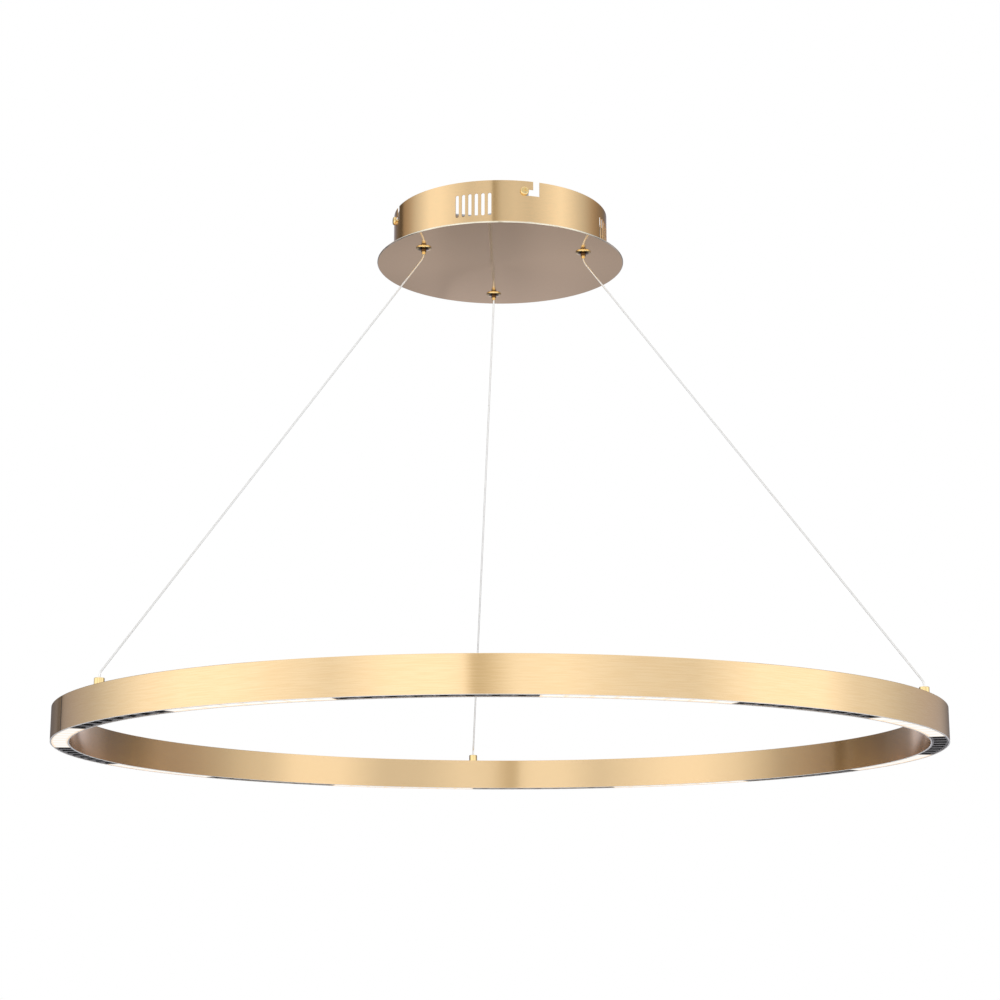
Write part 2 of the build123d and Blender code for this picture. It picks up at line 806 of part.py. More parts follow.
def segment_sides():
    """The corners up a segment's outer and inner sides, with the beads that snap into the channel."""
    outer_face, inner_face = channel_outer - segment_side_gap, channel_inner + segment_side_gap
    outer = side_profile(outer_face, segment_bottom, bead_height, bead_proud, bead_proud)
    inner = side_profile(inner_face, segment_bottom, bead_height, -bead_proud, bead_proud)
    return outer + [(outer_face, segment_top)], inner + [(inner_face, segment_top)]


def segment_angles():
    """Where the first segment's body starts, and its span, with the gap to its neighbours left out."""
    gap = degrees_along(segment_gap, ring_middle)
    return gap / 2, segment_span - gap


def louvre():
    """A black segment: a row of cells that narrow towards the LED above each."""
    outer, inner = segment_sides()
    start, span = segment_angles()
    body = turned(outer + inner[::-1], segment_span + start, span)
    mouth = Rectangle(ring_width - 2 * (ring_wall + segment_side_gap + louvre_rail),
                      math.radians(cell_span) * ring_middle - louvre_fin)
    cell = extrude(mouth, segment_height, taper=louvre_taper)
    cuts = []
    for number in range(cells):
        angle = segment_span + (number + 0.5) * cell_span
        cuts.append(placed(angle, ring_middle, segment_bottom) * cell)
    return body - cuts


def diffuser():
    """A lit segment: an opal trough with shallow grooves across its face."""
    outer, inner = segment_sides()
    start, span = segment_angles()
    inner_leg = channel_inner + segment_side_gap + diffuser_leg
    outer_leg = channel_outer - segment_side_gap - diffuser_leg
    floor = segment_bottom + diffuser_face
    trough = [(outer_leg, segment_top), (outer_leg, floor), (inner_leg, floor), (inner_leg, segment_top)]
    body = turned(outer + trough + inner[::-1], start, span)
    groove = Box(outer_leg - inner_leg, rib_groove_width, 2 * rib_groove_depth)
    cuts = [placed(number * cell_span, ring_middle, segment_bottom) * groove for number in range(1, cells)]
    return body - cuts


def led_boards():
    """The boards between the segments and the channel's ledges."""
    inner, outer = channel_inner + led_board_side_gap, channel_outer - led_board_side_gap
    outline = [(inner, segment_top), (outer, segment_top), (outer, led_board_top), (inner, led_board_top)]
    gap = degrees_along(led_board_gap, ring_middle)
    starts = around(2 * segment_pairs, gap / 2)
    return group(turned(outline, start, segment_span - gap) for start in starts)


def led_chips():
    """One LED over the middle of each cell."""
    chip = Box(*led_size, align=(Align.CENTER, Align.CENTER, Align.MAX))
    angles = around(2 * segment_pairs * cells, cell_span / 2)
    return group(placed(angle, ring_middle, segment_top) * chip for angle in angles)


def board_links():
    """The connectors that bridge each gap between two boards."""
    link = Box(*link_size, align=(Align.CENTER, Align.CENTER, Align.MIN))
    return group(placed(angle, ring_middle, led_board_top) * link for angle in around(2 * segment_pairs))


def feed_leads():
    """The short leads from the cable stops that carry power down to the boards."""
    leads = []
    link_reach = degrees_along(link_size[1] / 2, ring_middle)
    for number in tail_heading:
        angle = cable_angles[number]
        to_joint = abs((angle + segment_span / 2) % segment_span - segment_span / 2)
        foot = led_board_top + (link_size[2] if to_joint < link_reach else 0)
        leads.append(placed(angle, ring_middle) * pin(feed_lead_radius, foot, stop_bottom))
    return group(leads)


def ring_ferrules():
    """The turned ferrules on the ring, each with a stud through the roof."""
    bore = cable_radius + cable_clearance
    ferrule = turned([
        (bore, ferrule_stud_bottom), (ferrule_stud_radius, ferrule_stud_bottom),
        (ferrule_stud_radius, ring_top), (ferrule_radius, ring_top),
        (ferrule_radius, ferrule_top - ferrule_bevel),
        (ferrule_radius - ferrule_bevel, ferrule_top), (bore, ferrule_top),
    ])
    return group(placed(angle, ring_middle) * ferrule for angle in cable_angles)


def ferrule_nuts():
    """The nuts under the roof that hold the ferrules."""
    nut = hex_nut(ferrule_nut_width, ferrule_nut_height, ferrule_stud_radius + thread_clearance)
    return group(placed(angle, ring_middle, roof_z - ferrule_nut_height) * nut for angle in cable_angles)


def cable_ends():
    """The cables' last stretch, down through the ferrules to the stops."""
    end = pin(cable_radius, ferrule_stud_bottom, ferrule_top)
    return group(placed(angle, ring_middle) * end for angle in cable_angles)


def cable_stops():
    """The crimped stops under the ferrules' studs, which carry the ring."""
    stop = pin(stop_radius, stop_bottom, ferrule_stud_bottom)
    return group(placed(angle, ring_middle) * stop for angle in cable_angles)


def all_parts():
    """Every part of the lamp, by name."""
    parts = {
        "ceiling_bracket": ceiling_bracket(),
        "canopy_drum": canopy_drum(),
        "canopy_plate": canopy_plate(),
        "plate_nuts": plate_nuts(),
        "gripper_washers": gripper_washers(),
        "gripper_nuts": gripper_nuts(),
        "cable_tails": cable_tails(),
        "tail_crimps": tail_crimps(),
        "driver_case": driver_case(),
        "driver_cover": driver_cover(),
        "driver_board": driver_board(),
        "terminal_block": terminal_block(),
        "terminal_screws": terminal_screws(),
        "input_leads": input_leads(),
        "output_leads": output_leads(),
        "earth_lead": earth_lead(),
        "ring_housing": ring_housing(),
        "ring_splice": ring_splice(),
        "splice_screws": splice_screws(),
        "led_boards": led_boards(),
        "led_chips": led_chips(),
        "board_links": board_links(),
        "feed_leads": feed_leads(),
        "ring_ferrules": ring_ferrules(),
        "ferrule_nuts": ferrule_nuts(),
        "cable_ends": cable_ends(),
        "cable_stops": cable_stops(),
    }
    for number, angle in enumerate(around(slot_count, screw_angle), 1):
        parts[f"side_screw_{number}"] = side_screw(angle)
    for number, angle in enumerate(cable_angles, 1):
        parts[f"gripper_body_{number}"] = gripper_body(angle)
        parts[f"gripper_plunger_{number}"] = gripper_plunger(angle)
        parts[f"gripper_spring_{number}"] = gripper_spring(angle)
        parts[f"suspension_cable_{number}"] = suspension_cable(number, angle)
    first_diffuser, first_louvre = diffuser(), louvre()
    for number, angle in enumerate(around(segment_pairs), 1):
        parts[f"diffuser_{number}"] = Rot(0, 0, angle) * first_diffuser
        parts[f"louvre_{number}"] = Rot(0, 0, angle) * first_louvre
    return parts


os.makedirs("parts", exist_ok=True)
for name, shape in all_parts().items():
    export_step(shape, f"parts/{name}.step")
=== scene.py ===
"""Ring pendant lamp: a brushed gold ring of lit and louvred segments, hung on cables from a vented canopy."""

import json
import math
from contextlib import contextmanager

import bpy
from mathutils import Matrix, Vector


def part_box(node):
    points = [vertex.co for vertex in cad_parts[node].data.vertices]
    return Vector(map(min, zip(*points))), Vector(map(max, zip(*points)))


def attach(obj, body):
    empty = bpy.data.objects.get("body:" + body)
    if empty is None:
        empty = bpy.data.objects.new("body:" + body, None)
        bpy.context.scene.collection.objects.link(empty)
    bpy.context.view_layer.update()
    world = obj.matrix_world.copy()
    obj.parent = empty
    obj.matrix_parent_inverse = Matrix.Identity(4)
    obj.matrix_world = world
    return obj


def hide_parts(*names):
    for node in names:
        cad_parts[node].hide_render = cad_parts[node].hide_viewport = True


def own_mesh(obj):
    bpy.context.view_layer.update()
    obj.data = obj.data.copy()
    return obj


bl_info = {
    "name": "Ring Pendant Lamp",
    "version": (1, 0, 0),
    "blender": (4, 5, 0),
    "location": "View3D > Sidebar > Lamp",
    "description": "Dresses a pendant ring lamp: its brushed shells, segments, cables, finishes and studio",
    "category": "Object",
}

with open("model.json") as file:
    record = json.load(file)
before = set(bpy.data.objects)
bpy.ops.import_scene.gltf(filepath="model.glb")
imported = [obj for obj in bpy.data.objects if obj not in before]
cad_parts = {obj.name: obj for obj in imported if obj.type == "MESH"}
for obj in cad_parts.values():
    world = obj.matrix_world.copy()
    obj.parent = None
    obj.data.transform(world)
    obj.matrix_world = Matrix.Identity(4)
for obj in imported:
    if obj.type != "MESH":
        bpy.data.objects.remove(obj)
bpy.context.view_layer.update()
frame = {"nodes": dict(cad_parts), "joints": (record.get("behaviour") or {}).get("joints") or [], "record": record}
SLOT_OF = {part["node"]: part["material_slot"] for part in frame["record"]["subparts"]}
RING_LOW, RING_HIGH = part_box("ring_housing")
CHANNEL_WIDTH = 0.0165
RING_INSIDE = RING_HIGH.x - CHANNEL_WIDTH
SEAM = math.radians(-160.4)
DRUM_LOW, DRUM_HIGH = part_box("canopy_drum")
EAR_ANGLES = [math.radians(60.0 * number) for number in range(6)]
PLATE_LOW, PLATE_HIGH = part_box("canopy_plate")
PLATE_THICKNESS = 0.0015
SEGMENT_LOW, SEGMENT_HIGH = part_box("diffuser_1")
CABLE_ANGLES = {1: 90.0, 2: 210.0, 3: 330.0}
GRIPPER_RADIUS = (sum(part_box("gripper_body_1"), Vector()) / 2).xy.length
FERRULE_RADIUS = 0.39175
CABLE_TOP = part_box("gripper_plunger_1")[0].z
CABLE_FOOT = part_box("ring_ferrules")[1].z

# The screen that the metal mirrors: how far its front is turned to the camera's side, in degrees, and the
# levels of its lower and its upper row of soft boxes, each at its angle from the front.
FRONT = 4.3
LOW_BOXES = [(-180, 0.60), (-172, 0.20), (-164, 0.15), (-150, 0.13), (-136, 0.16), (-125, 0.35),
             (-117, 0.44), (-104, 0.60), (-95, 0.81), (-84, 1.09), (-70, 1.27), (-57, 1.25), (-45, 1.10),
             (-34, 0.95), (-22, 1.26), (-12, 1.28), (0, 1.12), (12, 1.18), (26, 0.94), (40, 0.86),
             (55, 1.24), (72, 1.26), (82, 0.92), (90, 0.83), (104, 0.62), (117, 0.53), (128, 0.44),
             (140, 0.20), (158, 0.15), (172, 0.32), (180, 0.60)]
HIGH_BOXES = [(-180, 0.50), (-150, 0.20), (-130, 0.11), (-124, 0.36), (-111, 0.48), (-94, 0.78),
              (-79, 1.07), (-64, 1.07), (-48, 0.90), (-31, 0.72), (-14, 0.76), (0, 0.63), (15, 0.73),
              (31, 0.69), (48, 0.88), (66, 1.07), (80, 0.88), (94, 0.66), (111, 0.45), (128, 0.28),
              (150, 0.18), (180, 0.50)]


# Properties


def length(name, description, default):
    return bpy.props.FloatProperty(name=name, description=description, default=default, unit="LENGTH",
                                   precision=5)


def angle(name, description, degrees):
    return bpy.props.FloatProperty(name=name, description=description, default=math.radians(degrees),
                                   subtype="ANGLE")


def number(name, description, default):
    return bpy.props.FloatProperty(name=name, description=description, default=default)


def count(name, description, default):
    return bpy.props.IntProperty(name=name, description=description, default=default, min=1)


def colour(name, description, red, green, blue):
    return bpy.props.FloatVectorProperty(name=name, description=description, default=(red, green, blue),
                                         subtype="COLOR", size=3, min=0.0, max=1.0)


class RingSizes(bpy.types.PropertyGroup):
    """Sizes of the ring's channel and its segments"""
    radius: length("Radius", "Outside of the ring", RING_HIGH.x)
    width: length("Width", "Across the channel", CHANNEL_WIDTH)
    wall: length("Wall", "Thickness of the channel's two sides", 0.0014)
    roof: length("Roof", "Thickness of the channel's top", 0.0018)
    edge: length("Edge", "Chamfer along the channel's outer edges", 0.0003)
    seam: angle("Seam", "Where the channel's two ends meet", math.degrees(SEAM))
    seam_gap: length("Seam gap", "Gap between the channel's two ends", 0.0003)
    steps: count("Steps", "Facets round the ring", 720)
    pairs: count("Pairs", "Lit segments, and as many louvred ones", 8)
    cells: count("Cells", "Cells in each segment", 8)
    fit: length("Fit", "Gap between a segment and the channel's side", 0.00015)
    rail: length("Rail", "Edge of a louvre beside its cells", 0.0013)
    fin: length("Fin", "Wall between two cells of a louvre", 0.0015)
    taper: angle("Taper", "Slope of a cell's sides", 14.0)


class CanopySizes(bpy.types.PropertyGroup):
    """Sizes of the canopy's drum and plate"""
    wall: length("Wall", "Thickness of the drum", 0.0006)
    steps: count("Steps", "Facets round the drum", 720)
    slots: count("Slots", "Bayonet slots round the drum", 4)
    slot_angle: angle("Slot angle", "Where the first slot's closed end stands", 8.2)
    slot_turn: angle("Slot turn", "From the closed end to the leg", 6.4)
    slot_width: length("Slot width", "Across a bayonet slot", 0.006)
    slot_depth: length("Slot depth", "Rim to the middle of the slot's level run", 0.011)
    vent_angle: angle("Vent angle", "Middle of the first group of vents", -18.45)
    vent_step: angle("Vent step", "From one vent to the next", 3.46)
    vents: count("Vents", "Vents in each group", 6)
    vent_width: length("Vent width", "Across a vent", 0.0032)
    vent_length: length("Vent length", "Height of a vent", 0.0216)
    vent_depth: length("Vent depth", "Rim to the middle of a vent", 0.023)
    plate_thickness: length("Plate thickness", "Thickness of the round plate", PLATE_THICKNESS)
    plate_edge: length("Plate edge", "Chamfer of the plate's rim", 0.0005)


class CableSizes(bpy.types.PropertyGroup):
    """Sizes of the suspension cables"""
    diameter: length("Diameter", "Over the strands", 0.0016)
    strands: count("Strands", "Strands round the core", 6)
    lay: length("Lay", "Length of one turn of a strand", 0.0105)
    valley: length("Valley", "How far the strands' grooves go in", 0.00003)


class Finishes(bpy.types.PropertyGroup):
    """Colours of the finishes"""
    gold: colour("Gold", "Brushed gold of the ring", 0.93, 0.695, 0.41)
    deep_gold: colour("Deep gold", "Gold in the brush lines", 0.89, 0.645, 0.36)
    # Painted shade: a darker gold on the ring's inner side stands in for the darker reflections there.
    painted_inner_shade: colour("Inner gold", "Brushed gold on the ring's inner side", 0.82, 0.60, 0.345)
    canopy_gold: colour("Canopy gold", "Brushed gold of the canopy", 0.93, 0.655, 0.36)
    bright_gold: colour("Bright gold", "Polished gold of the small fittings", 1.0, 0.77, 0.38)
    # Painted shade: a near-black gold under each gripper's flange and down its nose.
    shaded_gold: colour("Shaded gold", "Polished gold under a gripper's flange", 0.15, 0.09, 0.045)
    seam_shade: colour("Seam shade", "Shade along the ring's seam", 0.20, 0.13, 0.08)
    # Painted highlight: a pale colour on the channel's lower rims stands in for the light they catch.
    painted_rim_highlight: colour("Cut rim", "Bare metal on the channel's lower rims", 0.95, 0.94, 0.95)
    # Painted highlight: a pale cream round the plate's edge stands in for the light that edge catches.
    plate_edge: colour("Plate edge", "Bright edge round the canopy's plate", 1.0, 0.93, 0.76)
    opal: colour("Opal", "Light from a lit segment", 0.90, 0.88, 0.85)
    opal_line: colour("Opal line", "Light at the lines and edges of a lit segment", 0.87, 0.71, 0.54)
    black: colour("Black", "Satin black of the louvres' cells", 0.006, 0.0055, 0.006)
    # Painted sheen: a grey at the louvres' lips stands in for the light they mirror.
    painted_lip_sheen: colour("Lip", "Satin grey that shows at the louvres' lips", 0.26, 0.255, 0.27)
    steel: colour("Steel", "Zinc-plated steel", 0.60, 0.61, 0.62)
    cable: colour("Cable", "Sheathed steel strands", 0.99, 0.99, 0.98)


class Studio(bpy.types.PropertyGroup):
    """The camera, the light and the floor"""
    floor_drop: length("Floor", "Floor below the ceiling", 2.2)
    floor_radius: length("Floor radius", "Radius of the round floor", 1.9)
    screen_radius: length("Screen radius", "Radius of the screen that the metal mirrors", 1.3)
    screen_low: length("Screen foot", "Lower edge of the screen", -1.7)
    screen_high: length("Screen top", "Upper edge of the screen", 1.4)
    camera_place: bpy.props.FloatVectorProperty(name="Camera", description="Where the camera stands",
                                                default=(-0.1409, -1.8799, -0.7067), subtype="TRANSLATION")
    camera_heading: angle("Heading", "Camera's turn from straight ahead", 4.284)
    camera_pitch: angle("Pitch", "Camera's tilt upwards", 12.824)
    camera_roll: angle("Roll", "Camera's roll", 0.044)
    camera_lens: number("Lens", "Focal length on a 36 mm frame", 74.587)
    key_power: number("Key", "Power of the soft lamp on the left", 14.0)
    fill_power: number("Fill", "Power of the soft lamp on the right", 8.0)


# Modelling


def only(piece):
    """Select one piece and nothing else."""
    bpy.ops.object.select_all(action="DESELECT")
    piece.select_set(True)
    bpy.context.view_layer.objects.active = piece


@contextmanager
def editing(piece, picked=None):
    """Edit mode on one piece, with the picked vertices selected, or all of them."""
    only(piece)
    bpy.context.tool_settings.mesh_select_mode = (True, False, False)
    for kind in (piece.data.polygons, piece.data.edges):
        for item in kind:
            item.select = picked is None
    for vertex in piece.data.vertices:
        vertex.select = picked is None or picked(vertex.co)
    bpy.ops.object.mode_set(mode="EDIT")
    yield
    bpy.ops.object.mode_set(mode="OBJECT")


def face_outwards():
    """Turn every face of the piece in edit mode outwards."""
    bpy.ops.mesh.select_all(action="SELECT")
    bpy.ops.mesh.normals_make_consistent(inside=False)


def outline(name, corners):
    """A closed line through its corners."""
    bpy.ops.object.select_all(action="DESELECT")
    bpy.ops.mesh.primitive_circle_add(vertices=len(corners), radius=1.0, fill_type="NOTHING")
    piece = bpy.context.object
    piece.name = name
    for vertex, corner in zip(piece.data.vertices, corners):
        vertex.co = corner
    return piece


def spun(name, profile, steps, start=0.0, span=2 * math.pi):
    """A closed profile of (radius, height) corners swung about the lamp's axis, capped if it stops short."""
    cos, sin = math.cos(start), math.sin(start)
    piece = outline(name, [(radius * cos, radius * sin, height) for radius, height in profile])
    with editing(piece):
        bpy.ops.mesh.spin(steps=steps, angle=-span, center=(0, 0, 0), axis=(0, 0, 1))
        bpy.ops.mesh.select_all(action="SELECT")
        bpy.ops.mesh.remove_doubles(threshold=1e-6)
        bpy.ops.mesh.fill_holes(sides=0)
        face_outwards()
    return piece


def prism(name, corners, along):
    """A flat outline pushed along a line into a solid."""
    piece = outline(name, corners)
    with editing(piece):
        bpy.ops.mesh.edge_face_add()
        bpy.ops.mesh.extrude_region_move(TRANSFORM_OT_translate={"value": along})
        face_outwards()
    return piece


def joined(name, pieces):
    """Several pieces as one."""
    only(pieces[0])
    for piece in pieces:
        piece.select_set(True)
    bpy.ops.object.join()
    pieces[0].name = name
    return pieces[0]


def turned(piece, turn):
    """The piece, turned about the lamp's axis."""
    piece.data.transform(Matrix.Rotation(turn, 4, "Z"))
    return piece


def copied(piece, name, turn):
    """A copy with its own mesh, turned about the lamp's axis."""
    copy = piece.copy()
    copy.data = piece.data.copy()
    copy.name = copy.data.name = name
    bpy.context.collection.objects.link(copy)
    return turned(copy, turn)


def modified(piece, kind, **settings):
    """A modifier, added and applied."""
    only(piece)
    modifier = piece.modifiers.new(kind.title(), kind)
    for setting, value in settings.items():
        setattr(modifier, setting, value)
    bpy.ops.object.modifier_apply(modifier=modifier.name)
    return piece


def wound(name, corners, turns, rise, steps):
    """A closed line wound about the lamp's axis as it rises, in so many steps a turn, with its ends open."""
    steps = round(steps * turns)
    return modified(outline(name, corners), "SCREW", angle=2 * math.pi * turns, screw_offset=rise,
                    steps=steps, render_steps=steps, use_smooth_shade=True)


def capped(piece):
    """The piece with its open ends closed."""
    with editing(piece):
        bpy.ops.mesh.fill_holes(sides=0)
        face_outwards()
    return piece


def cut(piece, cutter):
    """The piece less the cutter."""
    modified(piece, "BOOLEAN", operation="DIFFERENCE", solver="EXACT", object=cutter)
    bpy.data.objects.remove(cutter)
    return piece


def smooth(piece, degrees=30.0):
    """Smooth shading, with the corners left sharp."""
    only(piece)
    bpy.ops.object.shade_smooth_by_angle(angle=math.radians(degrees))
    return piece


def circle(radius, steps, height=0.0, centre=(0.0, 0.0)):
    """The corners of a level circle."""
    east, north = centre
    turns = [2 * math.pi * step / steps for step in range(steps)]
    return [(east + radius * math.cos(turn), north + radius * math.sin(turn), height) for turn in turns]


def cable_holes(radius, steps, out, low, depth):
    """The cutters of a round hole under each cable, so far out from the lamp's axis."""
    holes = []
    for degrees in CABLE_ANGLES.values():
        hole = prism("hole", circle(radius, steps, low, (out, 0.0)), (0, 0, depth))
        holes.append(turned(hole, math.radians(degrees)))
    return holes


def travel(name):
    """How far a slide of the lamp goes."""
    return next(joint for joint in frame["joints"] if joint["name"] == name)["range_m"][1]


def coated(piece, node):
    """The piece in the finish of a node's slot."""
    piece.data.materials.clear()
    piece.data.materials.append(bpy.data.materials["finish_" + SLOT_OF[node]])
    return piece


def shown(piece, body, node):
    """The piece takes the place of its node, on its body, in its finish."""
    coated(piece, node)
    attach(piece, body)
    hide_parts(node)
    return piece


# Shading


class Value:
    """A shader socket that takes part in sums."""

    def __init__(self, paint, socket):
        self.paint, self.socket = paint, socket

    def maths(self, operation, *others):
        return self.paint.node("ShaderNodeMath", {"operation": operation}, dict(enumerate((self, *others))))

    def __add__(self, other):
        return self.maths("ADD", other)

    def __sub__(self, other):
        return self.maths("SUBTRACT", other)

    def __rsub__(self, other):
        return (self * -1.0) + other

    def __mul__(self, other):
        return self.maths("MULTIPLY", other)

    __radd__, __rmul__ = __add__, __mul__


class Paint:
    """The nodes of one material or world."""

    def __init__(self, tree):
        self.tree = tree

    def node(self, kind, settings=None, sockets=None, out=0):
        """Add a node: its settings first, then its sockets' values or links. Gives one of its outputs."""
        node = self.tree.nodes.new(kind)
        for setting, value in (settings or {}).items():
            if setting == "stops":
                self.set_stops(node.color_ramp.elements, value)
            else:
                setattr(node, setting, value)
        for socket, value in (sockets or {}).items():
            self.feed(node.inputs[socket], value)
        return Value(self, node.outputs[out])

    def set_stops(self, elements, stops):
        while len(elements) < len(stops):
            elements.new(1.0)
        for element, (place, level) in zip(elements, stops):
            element.position, element.color = place, (level, level, level, 1.0)

    def feed(self, socket, value):
        if isinstance(value, Value):
            self.tree.links.new(value.socket, socket)
        else:
            socket.default_value = value

    def vector(self, operation, first, second=(0.0, 0.0, 0.0), out=0):
        return self.node("ShaderNodeVectorMath", {"operation": operation}, {0: first, 1: second}, out)

    def parts(self, vector):
        """A vector's three numbers."""
        first = self.node("ShaderNodeSeparateXYZ", None, {0: vector})
        return [Value(self, socket) for socket in first.socket.node.outputs]

    def step(self, value, low, high):
        """A smooth step from 0 to 1."""
        settings = {"interpolation_type": "SMOOTHSTEP"}
        return self.node("ShaderNodeMapRange", settings, {0: value, 1: low, 2: high, 3: 0.0, 4: 1.0})

    def mix(self, share, first, second):
        """A colour between two others."""
        return self.node("ShaderNodeMix", {"data_type": "RGBA"}, {0: share, 6: first, 7: second}, out=2)

    def noise(self, vector, scale, detail=2.0):
        return self.node("ShaderNodeTexNoise", None, {"Vector": vector, "Scale": scale, "Detail": detail})

    def between(self, share, first, second):
        """A number between two others."""
        return self.node("ShaderNodeMix", None, {0: share, 2: first, 3: second})

    def place(self):
        """Where a point of the surface is, in the lamp's frame."""
        return self.node("ShaderNodeTexCoord", None, None, out=3)

    def height(self):
        """How high a point is, from the ceiling."""
        return self.parts(self.place())[2]

    def radius(self):
        """How far a point is from the lamp's axis."""
        return self.vector("LENGTH", self.vector("MULTIPLY", self.place(), (1.0, 1.0, 0.0)), out=1)

    def turn(self):
        """A point's angle about the lamp's axis."""
        east, north, _ = self.parts(self.place())
        return north.maths("ARCTAN2", east)

    def bump(self, height, strength, distance):
        sockets = {"Height": height, "Strength": strength, "Distance": distance}
        return self.node("ShaderNodeBump", None, sockets)


def rgba(three):
    return (*three, 1.0)


class Finish(Paint):
    """A material with one principled shader."""

    def __init__(self, name, **constants):
        self.material = bpy.data.materials.new(name)
        self.material.use_nodes = True
        super().__init__(self.material.node_tree)
        self.shader = next(node for node in self.tree.nodes if node.type == "BSDF_PRINCIPLED")
        for socket, value in constants.items():
            self.set(socket.replace("_", " "), value)

    def set(self, socket, value):
        self.feed(self.shader.inputs[socket], value)


def round_the_axis(paint, along, across):
    """Coordinates whose pattern runs in long lines round the lamp's axis."""
    heading = paint.vector("NORMALIZE", paint.vector("MULTIPLY", paint.place(), (1.0, 1.0, 0.0)))
    spread = paint.vector("MULTIPLY", heading, (along, along, 0.0))
    line = (paint.height() + paint.radius()) * across
    return paint.vector("ADD", spread, paint.node("ShaderNodeCombineXYZ", None, {2: line}))


def brushed(name, deep, bright, grain):
    """Metal brushed in lines round the lamp's axis: the finish, its tone and how uneven its gloss is."""
    paint = Finish(name, Metallic=1.0, Anisotropic=1.0, Anisotropic_Rotation=0.25)
    fine = paint.noise(round_the_axis(paint, 20.0, 1350.0), 1.0)
    broad = paint.noise(round_the_axis(paint, 10.0, 700.0), 1.0)
    lines = fine * 0.92 + broad * 0.08
    paint.set("Normal", paint.bump(lines, grain, 0.0002))
    return paint, paint.mix(paint.step(lines, 0.32, 0.68), rgba(deep), rgba(bright)), (lines - 0.5) * 0.07


def ring_gold(name, finishes):
    """Brushed gold with painted shade on the ring's inner side and along its seam, and a painted highlight on the
    channel's lower rims.
    """
    paint, tone, uneven = brushed(name, finishes.deep_gold, finishes.gold, 0.06)
    # Painted shade: the inner face takes a darker gold in place of the darker reflections it would show.
    inside = paint.step(paint.radius(), RING_INSIDE + 0.0006, RING_INSIDE + 0.0002)
    seam = paint.step((paint.turn() * RING_HIGH.x - SEAM * RING_HIGH.x).maths("ABSOLUTE"), 0.0022, 0.0012)
    # Painted highlight: the lowest fraction of a millimetre of the channel turns pale and mostly non-metal,
    # standing in for the light its rims catch.
    rim = paint.step(paint.height(), RING_LOW.z + 0.0004, RING_LOW.z + 0.0002)
    for share, other in ((inside, finishes.painted_inner_shade), (seam, finishes.seam_shade), (rim, finishes.painted_rim_highlight)):
        tone = paint.mix(share, tone, rgba(other))
    paint.set("Base Color", tone)
    paint.set("Metallic", 1.0 - rim * 0.9)
    paint.set("Roughness", uneven + 0.20)
    return paint.material


def canopy_gold(name, finishes):
    """Brushed gold, more polished on the canopy's plate, with a painted highlight round the plate's edge."""
    paint, tone, uneven = brushed(name, finishes.deep_gold, finishes.canopy_gold, 0.08)
    top = PLATE_LOW.z + PLATE_THICKNESS
    plate = paint.step(paint.height(), top + 0.0002, top)
    # Painted highlight: the outer half millimetre of the plate takes a pale cream colour.
    edge = paint.step(paint.radius(), PLATE_HIGH.x - 0.0008, PLATE_HIGH.x - 0.0005)
    paint.set("Base Color", paint.mix(edge, tone, rgba(finishes.plate_edge)))
    paint.set("Roughness", uneven + 0.17 - plate * 0.06)
    return paint.material


def turned_metal(name, tone, roughness, mottle=0.05, shade=None):
    """Plated or turned metal with fine marks, dull here and there, and, when given a shade, painted shade under
    the grippers' flanges and down their noses.
    """
    paint = Finish(name, Metallic=1.0)
    place = paint.place()
    cloud = paint.noise(place, 90.0, 3.0)
    marks = paint.noise(place, 1800.0)
    dull = [channel * (1.0 - 2.2 * mottle) for channel in tone]
    body = paint.mix(cloud, rgba(dull), rgba(tone))
    # Painted shade: from just under the flange down to the nose's end, the base colour turns dark, standing in for
    # the shade and dark reflections there.
    if shade:
        height = paint.height()
        under = paint.step(height, PLATE_LOW.z - 0.00105, PLATE_LOW.z - 0.0015)
        above = paint.step(height, PLATE_LOW.z - 0.0044, PLATE_LOW.z - 0.0041)
        body = paint.mix(under * above, body, rgba(shade))
    paint.set("Base Color", body)
    paint.set("Roughness", cloud * 0.10 + marks * 0.06 + (roughness - 0.08))
    paint.set("Normal", paint.bump(marks, 0.04, 0.0001))
    return paint.material


def moulded(name, tone, roughness, grain=0.08, second=None, divide=None):
    """Moulded plastic or a wire's sheath, in one tone or in two that part at a place."""
    paint = Finish(name)
    place = paint.place()
    cloud = paint.noise(place, 160.0)
    pores = paint.noise(place, 2600.0)
    light, shade = rgba(tone), rgba([channel * 0.86 for channel in tone])
    body = paint.mix(cloud, shade, light)
    if second:
        axis, low, high = divide
        body = paint.mix(paint.step(paint.parts(place)[axis], low, high), body, rgba(second))
    paint.set("Base Color", body)
    paint.set("Roughness", pores * 0.12 + (roughness - 0.06))
    paint.set("Normal", paint.bump(pores, grain, 0.0001))
    return paint.material


def in_cells(paint, cells):
    """A point's place round the ring, counted in cells."""
    return paint.turn() * (cells / (2 * math.pi))


def opal(name, finishes, cells):
    """A lit opal face with faint lines between its cells and along its edges."""
    paint = Finish(name, Roughness=0.35, Emission_Strength=1.0)
    cell = paint.step(in_cells(paint, cells).maths("PINGPONG", 0.5), 0.02, 0.15)
    aside = (paint.radius() - (RING_HIGH.x + RING_INSIDE) / 2).maths("ABSOLUTE")
    lit = cell * paint.step(aside, 0.0066, 0.0050)
    cloud = paint.noise(paint.place(), 60.0)
    paint.set("Base Color", paint.mix(cloud, (0.15, 0.15, 0.14, 1.0), (0.19, 0.19, 0.18, 1.0)))
    paint.set("Emission Color", paint.mix(lit, rgba(finishes.opal_line), rgba(finishes.opal)))
    return paint.material


